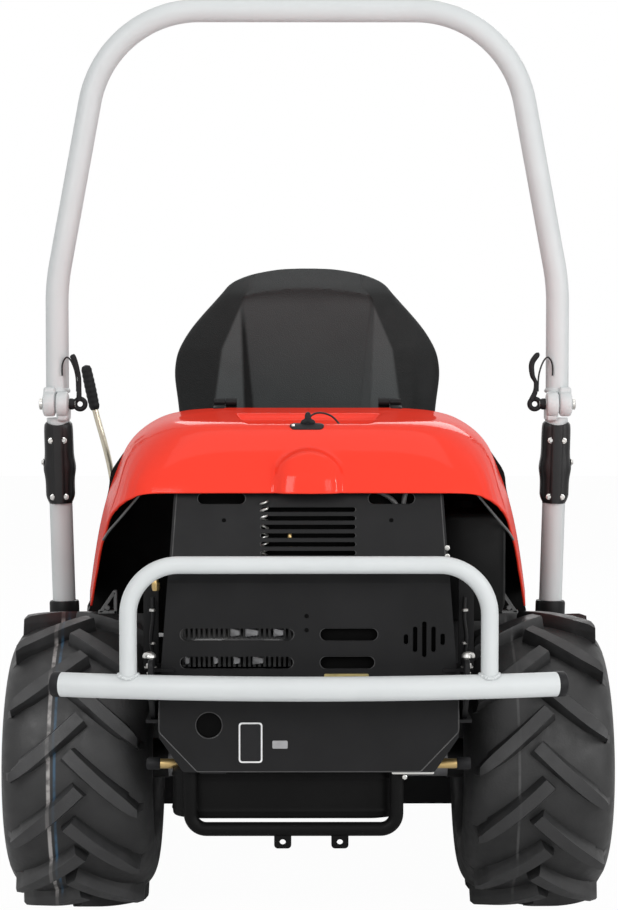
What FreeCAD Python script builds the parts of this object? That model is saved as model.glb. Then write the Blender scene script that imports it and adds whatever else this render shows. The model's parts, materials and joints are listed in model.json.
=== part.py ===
"""Ride-on brush mower: a parametric model in millimetres.

X points to the machine's right, Y forwards and Z up. The origin is on the ground, in the
middle of the machine's overall box. Every driving size is a cell of the sheet "Sizes", and
each piece is bound to those cells.
"""
import FreeCAD, Part
import math
import os
import Sketcher
from FreeCAD import Rotation, Vector

SIZES = {
    # name: (value, what it is)
    # running gear
    "wheelbase": (1250, "rear axle to front axle"),
    "rear_tyre_radius": (254, "over the lugs"),
    "rear_tyre_width": (253, "widest"),
    "rear_track_half": (384, "centre line to middle of a rear tyre"),
    "front_tyre_radius": (203, "over the lugs"),
    "front_tyre_width": (165, "widest"),
    "front_track_half": (425, "centre line to middle of a front tyre"),
    "tyre_wall_bend": (26, "bend of a tyre's wall at its widest"),
    "tyre_shoulder_drop": (26, "shoulder below the crown"),
    "tyre_shoulder_bend": (22, "bend of the shoulder"),
    "tyre_crown_bend": (12, "bend from the shoulder to the crown"),
    "tyre_foot": (22, "foot of a tyre's wall in from its widest"),
    "tyre_foot_rise": (3, "foot of the wall above the bead's cover"),
    "bead_cover": (2, "bead above the rim's flange"),
    "rim_seat_radius": (101, "where the tyre's bead sits"),
    "rim_flange_height": (11, "flange above the seat"),
    "rim_sheet": (5, "thickness of a wheel disc and its barrel"),
    "rear_rim_width": (178, "over the flanges"),
    "front_rim_width": (130, "over the flanges"),
    "rear_disc_offset": (-20, "wheel disc from the middle of a rear tyre, outwards"),
    "front_disc_offset": (15, "wheel disc from the middle of a front tyre, outwards"),
    "wheel_bolt_circle": (50, "radius of the bolt circle"),
    "wheel_bolt_hole": (7, "radius of a bolt hole"),
    "rear_shaft_radius": (22, "rear axle shaft"),
    "rear_hub_radius": (34, "hub on the rear shaft"),
    "rear_hub_out": (18, "rear hub outside its disc"),
    "rear_pilot": (8, "radius of the bore in the rear hub"),
    "rear_shaft_in": (60, "rear shaft inside the axle tube"),
    "stub_radius": (12.5, "front stub axle"),
    "front_hub_radius": (28, "hub round the stub axle"),
    "front_hub_length": (80, "along the stub axle"),
    "axle_tube_radius": (32, "tube of the rear axle housing"),
    "axle_tube_end": (241, "outer end of the axle tube"),
    "axle_housing_half": (160, "half width of the gear housing"),
    "axle_housing_length": (230, "gear housing, front to back"),
    "axle_housing_drop": (64, "gear housing below the axle"),
    "axle_housing_bend": (20, "bends of the gear housing"),
    "axle_bore_depth": (70, "bore for a rear shaft, from the tube's end"),
    # chassis
    "rail_centre": (150, "centre line to the middle of a rail"),
    "rail_width": (40, "one rail, sideways"),
    "rail_bottom": (300, "above the ground"),
    "rail_height": (80, "one rail, upright"),
    "rail_rear": (378, "rear end of the rails behind the rear axle"),
    "rail_front": (1420, "front end of the rails ahead of the rear axle"),
    "member_length": (40, "one cross member, front to back"),
    "member_height": (30, "one cross member, upright"),
    "axle_plate": (13.4, "one plate of the front axle's bracket"),
    "axle_plate_rise": (6, "bracket plates above the beam's underside"),
    "axle_pin_end": (6, "axle pin outside the plates"),
    "plate": (5, "floor and deck plates"),
    "engine_deck_half": (255, "half width of the plate under the engine"),
    "engine_deck_front": (240, "front edge of that plate ahead of the rear axle"),
    "floor_rear": (560, "rear edge of the foot boards ahead of the rear axle"),
    "floor_front": (980, "front edge of the foot boards"),
    "floor_half": (470, "half width over the foot boards"),
    "floor_corner": (30, "corner radius of the foot boards"),
    "floor_hole_room": (6, "hole in the floor wider than the column"),
    "nose_half": (215, "half width of the front cover"),
    "nose_front": (1500, "front of the front cover ahead of the rear axle"),
    "nose_rear_gap": (30, "rear of the cover ahead of the foot boards' front"),
    "nose_low_rise": (90, "front edge of the cover above the floor"),
    "nose_low_bend": (50, "bend there"),
    "nose_mid_rise": (270, "cover above the front axle"),
    "nose_mid_bend": (120, "bend there"),
    "dash_rise": (300, "top of the dashboard above the floor"),
    "dash_setback": (40, "top of the dashboard ahead of its foot"),
    "dash_foot_rise": (220, "rear edge of the dashboard above the floor"),
    "dash_bend": (40, "bends of the dashboard"),
    "nose_corner": (30, "rear corners of the cover, seen from above"),
    "nose_taper_start": (60, "behind the front axle, where the cover narrows"),
    "nose_taper_bend": (100, "bend there"),
    "nose_taper": (50, "front of the cover narrower on each side"),
    "nose_front_bend": (60, "front corners, seen from above"),
    "cover_wall": (4, "thickness of hood and cover sheet"),
    "lap": (1, "how far welded pieces run into each other"),
    "overrun": (10, "how far a cutting form runs past what it cuts"),
    "room_overrun": (30, "how far a hollow runs out of its open side"),
    # engine bay
    "engine_half": (190, "half width of the engine"),
    "engine_rear": (280, "behind the rear axle"),
    "engine_front": (130, "ahead of the rear axle"),
    "engine_height": (390, "above the engine deck"),
    "tank_inner": (212, "inner side of the fuel tank from the centre line"),
    "tank_outer": (318, "outer side"),
    "tank_bottom": (524, "above the ground"),
    "tank_top": (700, "above the ground"),
    "tank_rear": (265, "behind the rear axle"),
    "tank_front": (20, "ahead of the rear axle"),
    "tank_foot": (36, "width of the foot under the tank"),
    "tank_foot_inset": (20, "foot's rear end from the tank's"),
    "tank_bend": (18, "inner edges of the tank"),
    "tank_outer_bend": (30, "outer edges of the tank"),
    "bulkhead_y": (212, "rear face of the bulkhead ahead of the rear axle"),
    "bulkhead_step": (10, "below and above the skirt's edge, where it widens"),
    "bulkhead_skirt_gap": (14, "inside the skirt"),
    "bulkhead_shoulder_gap": (12, "inside the shoulder"),
    "bulkhead_shoulder_drop": (8, "below the shoulder"),
    "bulkhead_shoulder_bend": (40, "bend there"),
    "bulkhead_top_gap": (10, "inside the hood's flat top"),
    "bulkhead_top_bend": (20, "bend of its top corners"),
    # hood
    "hood_top": (862, "top of the hood above the ground"),
    "hood_top_half": (221, "half width of the flat top"),
    "hood_shoulder_half": (337, "half width at the shoulder"),
    "hood_shoulder_z": (789, "height of the shoulder"),
    "hood_shoulder_bend": (45, "bend of the shoulder"),
    "hood_top_bend": (60, "bend at the edge of the flat top"),
    "hood_skirt_half": (383, "half width at the lower edge"),
    "hood_skirt_z": (524, "lower edge above the ground"),
    "hood_front_half": (390, "half width at the front edge, seen from above"),
    "hood_rear_half": (322, "half width at the rear corner, seen from above"),
    "hood_corner_radius": (90, "rear corners, seen from above"),
    "hood_rear": (360, "rear edge behind the rear axle"),
    "hood_crease": (285, "where the top turns down, behind the rear axle"),
    "hood_crease_drop": (17, "the crease below the hood's top"),
    "hood_crease_bend": (45, "bend of the crease"),
    "hood_rear_z": (739, "rear lower edge above the ground"),
    "hood_skirt_start": (20, "where the lower edge turns level, behind the rear axle"),
    "hood_skirt_bend": (120, "bend of the lower edge there"),
    "hinge_y": (205, "hood hinge ahead of the rear axle"),
    "hinge_rise": (5, "hood hinge above the hood's top"),
    "hinge_barrel": (7, "radius of the hood's hinge barrels"),
    "hinge_pin": (3, "radius of the hood's hinge pins"),
    "hinge_centre": (150, "hinge from the centre line"),
    "hinge_length": (20, "one knuckle of a hinge"),
    "fixed_leaf": (30, "fixed hinge leaf, down the bulkhead"),
    "moving_leaf": (50, "moving hinge leaf, along the hood"),
    "running_gap": (6, "gap between parts that pass each other"),
    "pin_fit": (0.05, "radial clearance of a turning pin or shaft"),
    "seat_fit": (0.3, "gap where two fixed pieces meet on a curve"),
    # rear guard
    "panel_plane": (378, "inner face of the panel behind the rear axle"),
    "panel_top_lean": (44, "how far the panel's top leans forwards"),
    "panel_bend_z": (600, "where the lean starts"),
    "panel_bottom_z": (303, "lower edge"),
    "panel_top_z": (747, "upper edge"),
    "panel_half": (234.5, "half width, lower part"),
    "panel_top_half": (211, "half width at the top"),
    "panel_sheet": (4, "thickness"),
    "panel_chamfer_across": (38, "lower corners, sideways"),
    "panel_chamfer_up": (55, "lower corners, upright"),
    "panel_foot_bend": (8, "bends at the foot of the panel"),
    "panel_chamfer_bend": (12, "bends above the chamfers"),
    "panel_taper_up": (113, "where the panel starts to narrow, above its foot"),
    "panel_shoulder_out": (6, "half width at the shoulder beyond the top's"),
    "panel_shoulder_up": (44, "shoulder above the bend"),
    "panel_taper_bend": (30, "bends of the panel's sides"),
    "louvre_left": (-75, "left ends of the louvres, sideways"),
    "louvre_right": (73, "right ends of the louvres, sideways"),
    "louvre_z": (629, "lowest louvre above the ground"),
    "louvre_height": (7, "one louvre, upright"),
    "louvre_pitch": (13.3, "louvre to louvre"),
    "vent_start": (151.5, "middle of the first upright vent, sideways"),
    "vent_pitch": (14.3, "vent to vent"),
    "vent_half": (3.5, "half width of a vent"),
    "vent_z": (512, "middle of the vents above the ground"),
    "panel_hole_x": (-156, "round hole, sideways"),
    "panel_hole_z": (377, "round hole above the ground"),
    "panel_hole_radius": (20, "round hole"),
    "bumper_radius": (19, "tube of both bumper bars"),
    "bumper_guard_radius": (13.5, "thinner tube of the guard loops"),
    "rear_bar_half": (391, "half length of the rear bar"),
    "rear_bar_y": (452, "middle of the rear bar behind the rear axle"),
    "rear_bar_bend": (1554, "radius that the rear bar is bent to"),
    "rear_bar_z": (445, "above the ground"),
    "rear_guard_half": (278, "half width of the rear loop"),
    "rear_guard_top": (633, "above the ground"),
    "rear_guard_y": (429, "rear loop behind the rear axle"),
    "rear_guard_bend": (77, "corner radius of the rear loop"),
    "bumper_bracket": (244, "bumper bracket from the centre line"),
    "bracket_sheet": (8, "thickness of brackets"),
    "bracket_reach": (22, "rear bracket ahead of the bar's middle"),
    "bracket_drop": (12, "rear bracket below the bar's middle"),
    "bracket_rise": (40, "rear bracket above the bar's middle"),
    "bracket_shoulder": (20, "top edge of the bracket ahead of the rails' end"),
    "bracket_foot": (90, "foot of the bracket ahead of the rails' end"),
    "bracket_foot_gap": (10, "rear of the foot ahead of the rails' end"),
    "bracket_foot_rise": (30, "front of the foot, upright"),
    "bracket_foot_bend": (15, "bend at the foot"),
    "bracket_top_bend": (20, "bend of the top edge"),
    "bracket_nose_bend": (10, "bend next to the bar"),
    "silencer_centre": (-36, "middle of the silencer, sideways"),
    "silencer_half": (182, "half width"),
    "silencer_bottom": (222, "above the ground"),
    "silencer_rear": (350, "behind the rear axle"),
    "silencer_front": (190, "behind the rear axle"),
    "silencer_corner": (40, "corner radius"),
    "under_tube_radius": (11, "guard tube under the silencer"),
    "under_tube_z": (209, "above the ground"),
    "under_tube_half": (162, "half width between its legs"),
    "under_tube_shift": (12, "its middle from the silencer's middle"),
    "under_tube_bend": (25, "bend radius"),
    "tow_lug_width": (27, "one lug"),
    "tow_lug_apart": (45, "from the middle of the pair"),
    "tow_lug_drop": (19, "below the guard tube"),
    "tow_lug_shift": (4, "middle of the pair, sideways"),
    "tow_lug_bend": (6, "corners of a lug"),
    "tow_lug_half": (5, "half thickness of a lug"),
    "tow_hole_radius": (5, "hole in a tow lug"),
    # roll-over frame
    "rops_y": (290, "plane of the frame ahead of the rear axle"),
    "rops_tube_radius": (21.2, "frame tube"),
    "rops_hinge_half": (464, "fold hinge from the centre line"),
    "rops_hinge_z": (862, "fold hinge above the ground"),
    "rops_hinge_back": (28, "fold hinge behind the plane of the frame"),
    "rops_lean_z": (1084, "where the legs start to lean in"),
    "rops_top_half": (370, "legs and top tube would meet here"),
    "rops_top_z": (1586, "middle of the top tube above the ground"),
    "rops_leg_bend": (400, "bend radius where the legs start to lean"),
    "rops_corner_bend": (205, "bend radius of the top corners"),
    "rops_foot_lean": (1.6, "degrees that the posts lean in towards their feet"),
    "post_bottom_z": (446, "lower end of the posts"),
    "post_top_gap": (4, "top of the post tube below the blocks"),
    "socket_top_z": (494, "top of the sockets"),
    "socket_wall": (4, "wall of the sockets"),
    "socket_foot": (8, "socket tube above the beam's underside"),
    "clamp_top_z": (814, "top of the clamps"),
    "clamp_bottom_z": (683, "bottom of the clamps"),
    "clamp_half": (29, "half width of a clamp"),
    "clamp_flange": (13, "thickness of the two clamp flanges together"),
    "clamp_foot_in": (10, "lower corners of the flanges, sideways"),
    "clamp_foot_up": (14, "lower corners of the flanges, upright"),
    "clamp_head_in": (8, "upper corners of the flanges, sideways"),
    "clamp_head_down": (10, "upper corners of the flanges, upright"),
    "clamp_lug_radius": (13, "cross bolt's boss on a clamp"),
    "clamp_lug_out": (6, "boss outside the flanges"),
    "clamp_wall": (5, "wall of a clamp"),
    "knuckle_half": (24, "half width of a hinge knuckle"),
    "knuckle_radius": (23, "radius of a hinge knuckle"),
    "knuckle_reach": (36, "from the fold hinge to the blocks that carry its knuckles"),
    "knuckle_block": (10, "thickness of those blocks"),
    "knuckle_inset": (2, "knuckles inside the tube's outline"),
    "knuckle_block_back": (4, "blocks behind the fold hinge"),
    "rops_pin_radius": (8, "fold hinge pin"),
    "rops_pin_in": (12, "pin inside its knuckles"),
    "rops_pin_out": (6, "pin outside its knuckles"),
    "rops_head_step": (4, "pin's head wider than the pin, in radius"),
    "rops_head_gap": (0.5, "head off the knuckle"),
    "rops_head": (6, "thickness of the head"),
    "ring_rise": (9, "ring above the fold hinge"),
    "ring_radius": (11, "ring on the fold hinge pin, to the middle of its wire"),
    "ring_wire": (2.5, "radius of that wire"),
    "rops_base_size": (50, "square beam under the posts"),
    "rops_base_half": (478, "half length of that beam"),
    # seat and controls
    "seat_y": (455, "foot of the seat back ahead of the rear axle"),
    "seat_lean": (8, "degrees"),
    "seat_back_thickness": (70, "seat back, front to back"),
    "seat_height": (600, "underside of the cushion above the ground"),
    "cushion_half": (235, "half width of the cushion"),
    "cushion_length": (430, "front to back"),
    "cushion_thickness": (90, "upright"),
    "seat_rear_bend": (40, "rear corners of the cushion"),
    "seat_front_bend": (90, "front corners of the cushion"),
    "seat_base_half": (190, "half width of the seat box"),
    "seat_box_rear": (30, "seat box behind the seat back's foot"),
    "seat_box_bend": (20, "rear corners of the seat box"),
    "seat_box_taper": (40, "front of the box narrower on each side"),
    "seat_box_front": (60, "front of the box behind the cushion's front"),
    "seat_box_front_bend": (40, "front corners of the box"),
    "column_foot_y": (1167, "foot of the steering column ahead of the rear axle"),
    "column_lean": (25, "degrees"),
    "column_radius": (22, "steering column"),
    "column_sink": (8, "foot of the steering column below the chassis top"),
    "column_length": (540, "from its foot to the steering wheel"),
    "column_room": (4, "hole in the cover wider than the column"),
    "wheel_rim_radius": (165, "steering wheel, to the middle of its rim"),
    "wheel_rim_tube": (13, "half thickness of the steering wheel's rim"),
    "wheel_hub_radius": (38, "steering wheel hub"),
    "wheel_rise": (30, "middle of the rim above the hub's foot"),
    "wheel_hub_step": (2, "hub's foot wider than the column, in radius"),
    "wheel_hub_above": (8, "hub above the rim's middle"),
    "spoke_half": (14, "half width of a spoke"),
    "spoke_thick": (5, "half thickness of a spoke"),
    "pedal_back": (70, "pedals behind the foot boards' front edge"),
    "pedal_stem": (6, "half width of a pedal's stem"),
    "pedal_height": (60, "stem above the floor"),
    "pedal_half": (38, "half width of a pad"),
    "pedal_reach": (50, "half length of a pad"),
    "pedal_sheet": (8, "thickness of a pad"),
    "pedal_low": (40, "lower edge of a pad above the floor"),
    "pedal_lean": (24, "degrees"),
    # front axle and steering
    "beam_size": (50, "square front axle beam"),
    "beam_bottom": (225, "above the ground"),
    "kingpin_half": (315, "kingpin from the centre line"),
    "kingpin_radius": (10, "kingpin"),
    "kingpin_end": (4, "kingpin beyond the ears"),
    "fork_inset": (30, "fork's web inside the kingpin"),
    "fork_web": (8, "thickness of the fork's web"),
    "fork_web_rise": (10, "web above the beam's underside"),
    "end_flat": (0.5, "flat left in the middle of a round end"),
    "ear_radius": (21, "ends of the axle's ears"),
    "ear_thickness": (12, "one ear"),
    "upper_ear_z": (245, "underside of the upper ear"),
    "lower_ear_z": (162, "top of the lower ear"),
    "knuckle_barrel": (20, "radius of a knuckle's barrel"),
    "steer_arm": (110, "kingpin to tie rod pin"),
    "steer_arm_width": (26, "one steering arm"),
    "steer_plate": (10, "thickness of the steering arms"),
    "steer_arm_z": (178, "underside of the steering arms"),
    "tie_rod_radius": (6, "tie rod"),
    "tie_eye_radius": (15, "eyes of the tie rod"),
    "tie_eye_height": (14, "eyes of the tie rod"),
    "tie_pin_radius": (5, "pins of the tie rod"),
    "tie_pin_length": (18, "pins of the tie rod"),
    "tongue_half": (10, "half width of the tongue"),
    "tongue_thick": (5, "half thickness of the tongue"),
    "steer_gap": (0.5, "gap between steering pieces"),
    "tie_tongue": (70, "from the tie rod back to its middle eye"),
    "pitman_shaft_radius": (12, "shaft of the pitman arm"),
    "pitman_gap": (7, "pitman arm above the tie rod's eyes"),
    "gear_half": (60, "half width of the steering gear"),
    "gear_length": (75, "steering gear, front to back"),
    "gear_bottom": (250, "above the ground"),
    "gear_top_gap": (6, "top of the gear below the chassis top"),
    "gear_mount_half": (20, "half of the gear's mount, front to back"),
    "gear_mount_low": (10, "underside of the mount below the chassis top"),
    "gear_mount_high": (4, "top of the mount below the chassis top"),
    # front bumper
    "front_bar_y": (295, "front bar ahead of the front axle"),
    "front_bar_half": (300, "half length"),
    "front_bar_z": (400, "above the ground"),
    "front_guard_half": (190, "half width of the front loop"),
    "front_guard_top": (560, "above the ground"),
    "front_bracket_low": (10, "bracket above the rails' underside"),
    "front_bracket_half": (15, "half height of the bracket at the bar"),
    "front_bracket_reach": (5, "bracket ahead of the cover"),
    "front_bracket_gap": (2, "bracket below the chassis top"),
    # mower deck
    "deck_half": (500, "half width"),
    "deck_rear": (345, "rear edge ahead of the rear axle"),
    "deck_front": (935, "front edge ahead of the rear axle"),
    "deck_bottom": (100, "skirt above the ground, as parked"),
    "deck_top": (215, "top plate above the ground, as parked"),
    "deck_corner": (170, "corner radius, seen from above"),
    "deck_sheet": (5, "thickness"),
    "spindle_half": (245, "spindle from the centre line"),
    "spindle_radius": (14, "spindle shaft"),
    "spindle_housing": (34, "radius of a spindle housing"),
    "housing_below": (40, "spindle housing below the deck's top"),
    "housing_above": (20, "spindle housing above the deck's top"),
    "blade_length": (480, "tip to tip"),
    "blade_width": (60, "one blade bar"),
    "blade_sheet": (8, "thickness"),
    "blade_z": (124, "underside of the blades, as parked"),
    "blade_tip": (60, "cut-back corner of a blade, along it"),
    "rotor_gap": (1, "gap between hub and housing"),
    "blade_hub_step": (4, "hub slimmer than the housing, in radius"),
    "blade_nut_radius": (14, "blade nut"),
    "blade_nut_height": (12, "blade nut"),
    "belt_cover_half": (320, "half width of the belt cover"),
    "belt_cover_length": (130, "front to back"),
    "belt_cover_height": (34, "above the deck"),
    "belt_cover_wall": (3, "thickness"),
    "belt_cover_bend": (60, "corner radius"),
    "spindle_top_gap": (10, "spindles below the belt cover's top"),
    "arm_length": (180, "deck arm, pin to pin"),
    "arm_pivot_z": (330, "arm pivot on the chassis above the ground"),
    "arm_pin_z": (245, "arm pin on the deck above the ground, as parked"),
    "rear_arm_y": (350, "rear arm pivot ahead of the rear axle"),
    "front_arm_y": (742, "front arm pivot ahead of the rear axle"),
    "arm_centre": (111, "arm from the centre line"),
    "arm_sheet": (12, "thickness"),
    "arm_eye": (18, "radius of an arm's eyes"),
    "arm_width": (26, "arm between its eyes"),
    "arm_pin": (8, "radius of the arm pins"),
    "arm_pin_end": (2, "pin beyond its arm"),
    "arm_bracket_gap": (6, "deck bracket to its arm"),
    "arm_bracket_sheet": (8, "thickness of a deck bracket"),
    "arm_bracket_foot": (30, "half length of its foot"),
    "arm_bracket_head": (16, "half length of its head"),
    "arm_bracket_rise": (15, "bracket above its pin"),
    "arm_bracket_bend": (12, "bend of its head"),
    "cross_tube_radius": (13, "tube between the two arms of a pair"),
    # small parts
    "lever_radius": (6, "lift lever rod"),
    "grip_radius": (9.5, "lift lever grip"),
    "lever_bend": (60, "bend radius of the lift lever"),
    "grip_end": (6, "grip beyond the rod"),
    "lever_bracket_half": (18, "half width of the lever's bracket"),
    "lever_bracket_reach": (25, "half length of the bracket"),
    "lever_bracket_height": (50, "bracket above the floor"),
    "latch_width": (32, "hood latch knob"),
    "latch_station": (256, "latch behind the rear axle"),
    "latch_stem": (7, "radius of the latch's stem"),
    "latch_stem_below": (12, "stem below the recess's floor"),
    "latch_stem_length": (26, "upright"),
    "wing_root": (6, "underside of the wing at the stem above the floor"),
    "wing_low": (12, "underside of the wing's tips above the floor"),
    "wing_high": (22, "top of the wing's tips above the floor"),
    "wing_waist": (18, "top of the wing's middle above the floor"),
    "wing_waist_in": (2, "wing's middle inside the stem's edge"),
    "wing_bend": (4, "corners of the wing"),
    "wing_half": (5, "half thickness of the wing"),
    "recess_half": (123, "half width of the front of the recess round the latch"),
    "recess_rear_half": (98, "half width of its rear"),
    "recess_depth": (12, "front of the recess below the hood's top"),
    "recess_rear_depth": (5, "rear of the recess below the crease"),
    "recess_front": (20, "front edge of the recess behind the rear axle"),
    "recess_bend": (18, "front corners of the recess"),
    "bulge_radius": (47, "bulge in the hood's rear slope"),
    "bulge_rise": (13, "height of the bulge above the slope"),
    "bulge_length": (62, "up the slope"),
    "strap_radius": (1.6, "lanyards and latch cord"),
}

# middles of the cross members ahead of the rear axle
MEMBERS = (-250, 180, 600, 1000, 1390)
# a tyre's widest height as a share of its radius; its shoulder and crown as shares of its width
TYRE_WALL = 0.66
TYRE_SHOULDER = 0.92
TYRE_CROWN = 0.84
WHEEL_BOLTS = 5
# shares of the front hub inside and outside its disc
HUB_INSIDE = 0.7
HUB_OUTSIDE = 0.3
# sides of the gear housing end at this share of its drop
HOUSING_SIDE = 0.5
# cooling slots of the rear panel (left, right, low, high), seen from behind
COOLING_SLOTS = (
    (-200, -24, 510, 529),
    (-200, -25, 466, 485),
    (18, 107, 510, 529),
    (18, 102, 466, 485),
    (-174, -100, 721, 738),
    (94, 166, 721, 738),
)
LOUVRES = 7
# half heights of the upright vents, from left to right
VENTS = (8, 20, 28, 20, 9)
# seat back, from its foot up: half width, height, bend
SEAT_BACK = ((205, 0, 40), (252, 250, 120), (257, 320, 120), (215, 425, 90), (120, 512, 90))
SPOKES = 3
PEDALS = (-330, 300, 400)
# lift lever: sideways, ahead of the rear axle, above the ground
LEVER_FOOT = (-352, 600, 423)
LEVER_BEND = (-388, 500, 723)
LEVER_TOP = (-438, 500, 930)
# where the grip starts, as a share of the run from bend to top
GRIP_START = 0.55
# half width of a blade's cut-back corners, as a share of the bar's
BLADE_CORNER = 0.7
# share of a cord's shorter run that a bend may use up
CORD_BEND = 0.45
# steps of the cords' routes from their starts
LANYARD = ((0, 0, 23), (0, 0, 44), (3, 1, 62), (10, 2, 80), (18, 3, 88), (25, 4, 80),
           (28, 4, 66), (27, 4, 52))
LATCH_CORD = ((0, 0, 17), (9, 0, 21), (22, 0, 22), (36, 0, 18), (46, -1, 10), (52, -3, 1))

doc = FreeCAD.newDocument("ride_on_brush_mower")
sheet = doc.addObject("Spreadsheet::Sheet", "Sizes")
nodes = []


class Size:
    """A length or an angle: its number, and the sheet expression that gives it."""

    def __init__(self, value, text):
        self.value = value
        self.text = text

    @staticmethod
    def of(other):
        if isinstance(other, Size):
            return other
        return Size(float(other), repr(float(other)))

    def __add__(self, other):
        other = Size.of(other)
        return Size(self.value + other.value, f"({self.text} + {other.text})")

    def __sub__(self, other):
        other = Size.of(other)
        return Size(self.value - other.value, f"({self.text} - {other.text})")

    def __mul__(self, other):
        other = Size.of(other)
        return Size(self.value * other.value, f"({self.text} * {other.text})")

    def __truediv__(self, other):
        other = Size.of(other)
        return Size(self.value / other.value, f"({self.text} / {other.text})")

    def __neg__(self):
        return Size(-self.value, f"(0 - {self.text})")

    def __radd__(self, other):
        return Size.of(other) + self

    def __rsub__(self, other):
        return Size.of(other) - self

    def __rmul__(self, other):
        return Size.of(other) * self


class Sheet:
    """The sheet's cells, read by name as Size values."""

    def __getattr__(self, name):
        return Size(float(SIZES[name][0]), f"Sizes.{name}")


size = Sheet()


def sine(angle):
    angle = Size.of(angle)
    return Size(math.sin(math.radians(angle.value)), f"sin({angle.text} * 1deg)")


def cosine(angle):
    angle = Size.of(angle)
    return Size(math.cos(math.radians(angle.value)), f"cos({angle.text} * 1deg)")


def root(square):
    return Size(math.sqrt(square.value), f"sqrt({square.text})")


def arc_sine(ratio):
    return Size(math.degrees(math.asin(ratio.value)), f"(asin({ratio.text}) / 1deg)")


def fill_sheet():
    """Write one row for each size: its name, its number and what it is."""
    for row, (name, (value, meaning)) in enumerate(SIZES.items(), start=1):
        sheet.set(f"A{row}", name)
        sheet.set(f"B{row}", str(value))
        sheet.set(f"C{row}", meaning)
        sheet.setAlias(f"B{row}", name)
    doc.recompute()


# ---------------------------------------------------------------- placing and joining

def place(piece, x=0, y=0, z=0, axis=None, degrees=None):
    """Bind a piece's place, and its turn about one axis, to the sheet."""
    if axis is not None:
        piece.Placement.Rotation = Rotation(Vector(*axis), Size.of(degrees).value)
        if isinstance(degrees, Size):
            piece.setExpression("Placement.Rotation.Angle", degrees.text)
    for key, value in (("x", x), ("y", y), ("z", z)):
        piece.setExpression(f"Placement.Base.{key}", Size.of(value).text)
    return piece


def bind(piece, **sizes):
    for name, value in sizes.items():
        piece.setExpression(name, Size.of(value).text)
    return piece


def block(name, x, y, z):
    """A box between two limits along each axis."""
    piece = doc.addObject("Part::Box", name)
    spans = [(Size.of(low), Size.of(high)) for low, high in (x, y, z)]
    bind(piece, Length=spans[0][1] - spans[0][0], Width=spans[1][1] - spans[1][0],
         Height=spans[2][1] - spans[2][0])
    return place(piece, spans[0][0], spans[1][0], spans[2][0])


ALONG = {"X": ((0, 1, 0), 90), "Y": ((1, 0, 0), -90), "Z": ((0, 0, 1), 0)}


def rod(name, radius, start, length, along="Z"):
    """A cylinder from a start point along one axis."""
    piece = doc.addObject("Part::Cylinder", name)
    bind(piece, Radius=radius, Height=length)
    axis, degrees = ALONG[along]
    return place(piece, *start, axis=axis, degrees=degrees)


def cone(name, low_radius, high_radius, start, length):
    piece = doc.addObject("Part::Cone", name)
    bind(piece, Radius1=low_radius, Radius2=high_radius, Height=length)
    return place(piece, *start)


def fuse(name, *pieces):
    piece = doc.addObject("Part::MultiFuse", name)
    piece.Shapes = list(pieces)
    piece.Refine = True
    return piece


def common(name, *pieces):
    piece = doc.addObject("Part::MultiCommon", name)
    piece.Shapes = list(pieces)
    return piece


def cut(name, base, *tools):
    """A base with one or more tools taken out."""
    piece = doc.addObject("Part::Cut", name)
    piece.Base = base
    piece.Tool = tools[0] if len(tools) == 1 else fuse(name + "_tools", *tools)
    return piece


def mirrored(name, source):
    """The same piece on the other side of the machine."""
    piece = doc.addObject("Part::Mirroring", name)
    piece.Source = source
    piece.Normal = Vector(1, 0, 0)
    return piece


def group(name, *pieces):
    """Separate solids that share one node."""
    piece = doc.addObject("Part::Compound", name)
    piece.Links = list(pieces)
    return piece


def both_sides(name, source):
    return group(name, source, mirrored(name + "_left", source))


def node(label, piece):
    """Name a finished sub-part; its label names its file."""
    piece.Label = label
    nodes.append(piece)
    return piece


# ---------------------------------------------------------------- sketches and bodies

def origin_plane(body, role):
    for feature in body.Origin.OriginFeatures:
        if feature.Role == role:
            return feature
    raise ValueError(role)


def new_sketch(body, name, plane, offset):
    """A sketch on one of the body's own origin planes, moved along that plane's normal."""
    sketch = body.newObject("Sketcher::SketchObject", name)
    sketch.AttachmentSupport = (origin_plane(body, plane + "_Plane"), [""])
    sketch.MapMode = "FlatFace"
    offset = Size.of(offset)
    sketch.AttachmentOffset = FreeCAD.Placement(Vector(0, 0, offset.value), Rotation())
    sketch.setExpression("AttachmentOffset.Base.z", offset.text)
    return sketch


def pin_point(sketch, geometry, position, across, up):
    """Hold one point of a sketch at two bound coordinates."""
    for kind, value in (("DistanceX", across), ("DistanceY", up)):
        rule = Sketcher.Constraint(kind, -1, 1, geometry, position, value.value)
        index = sketch.addConstraint(rule)
        sketch.setExpression(f"Constraints[{index}]", value.text)


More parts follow.
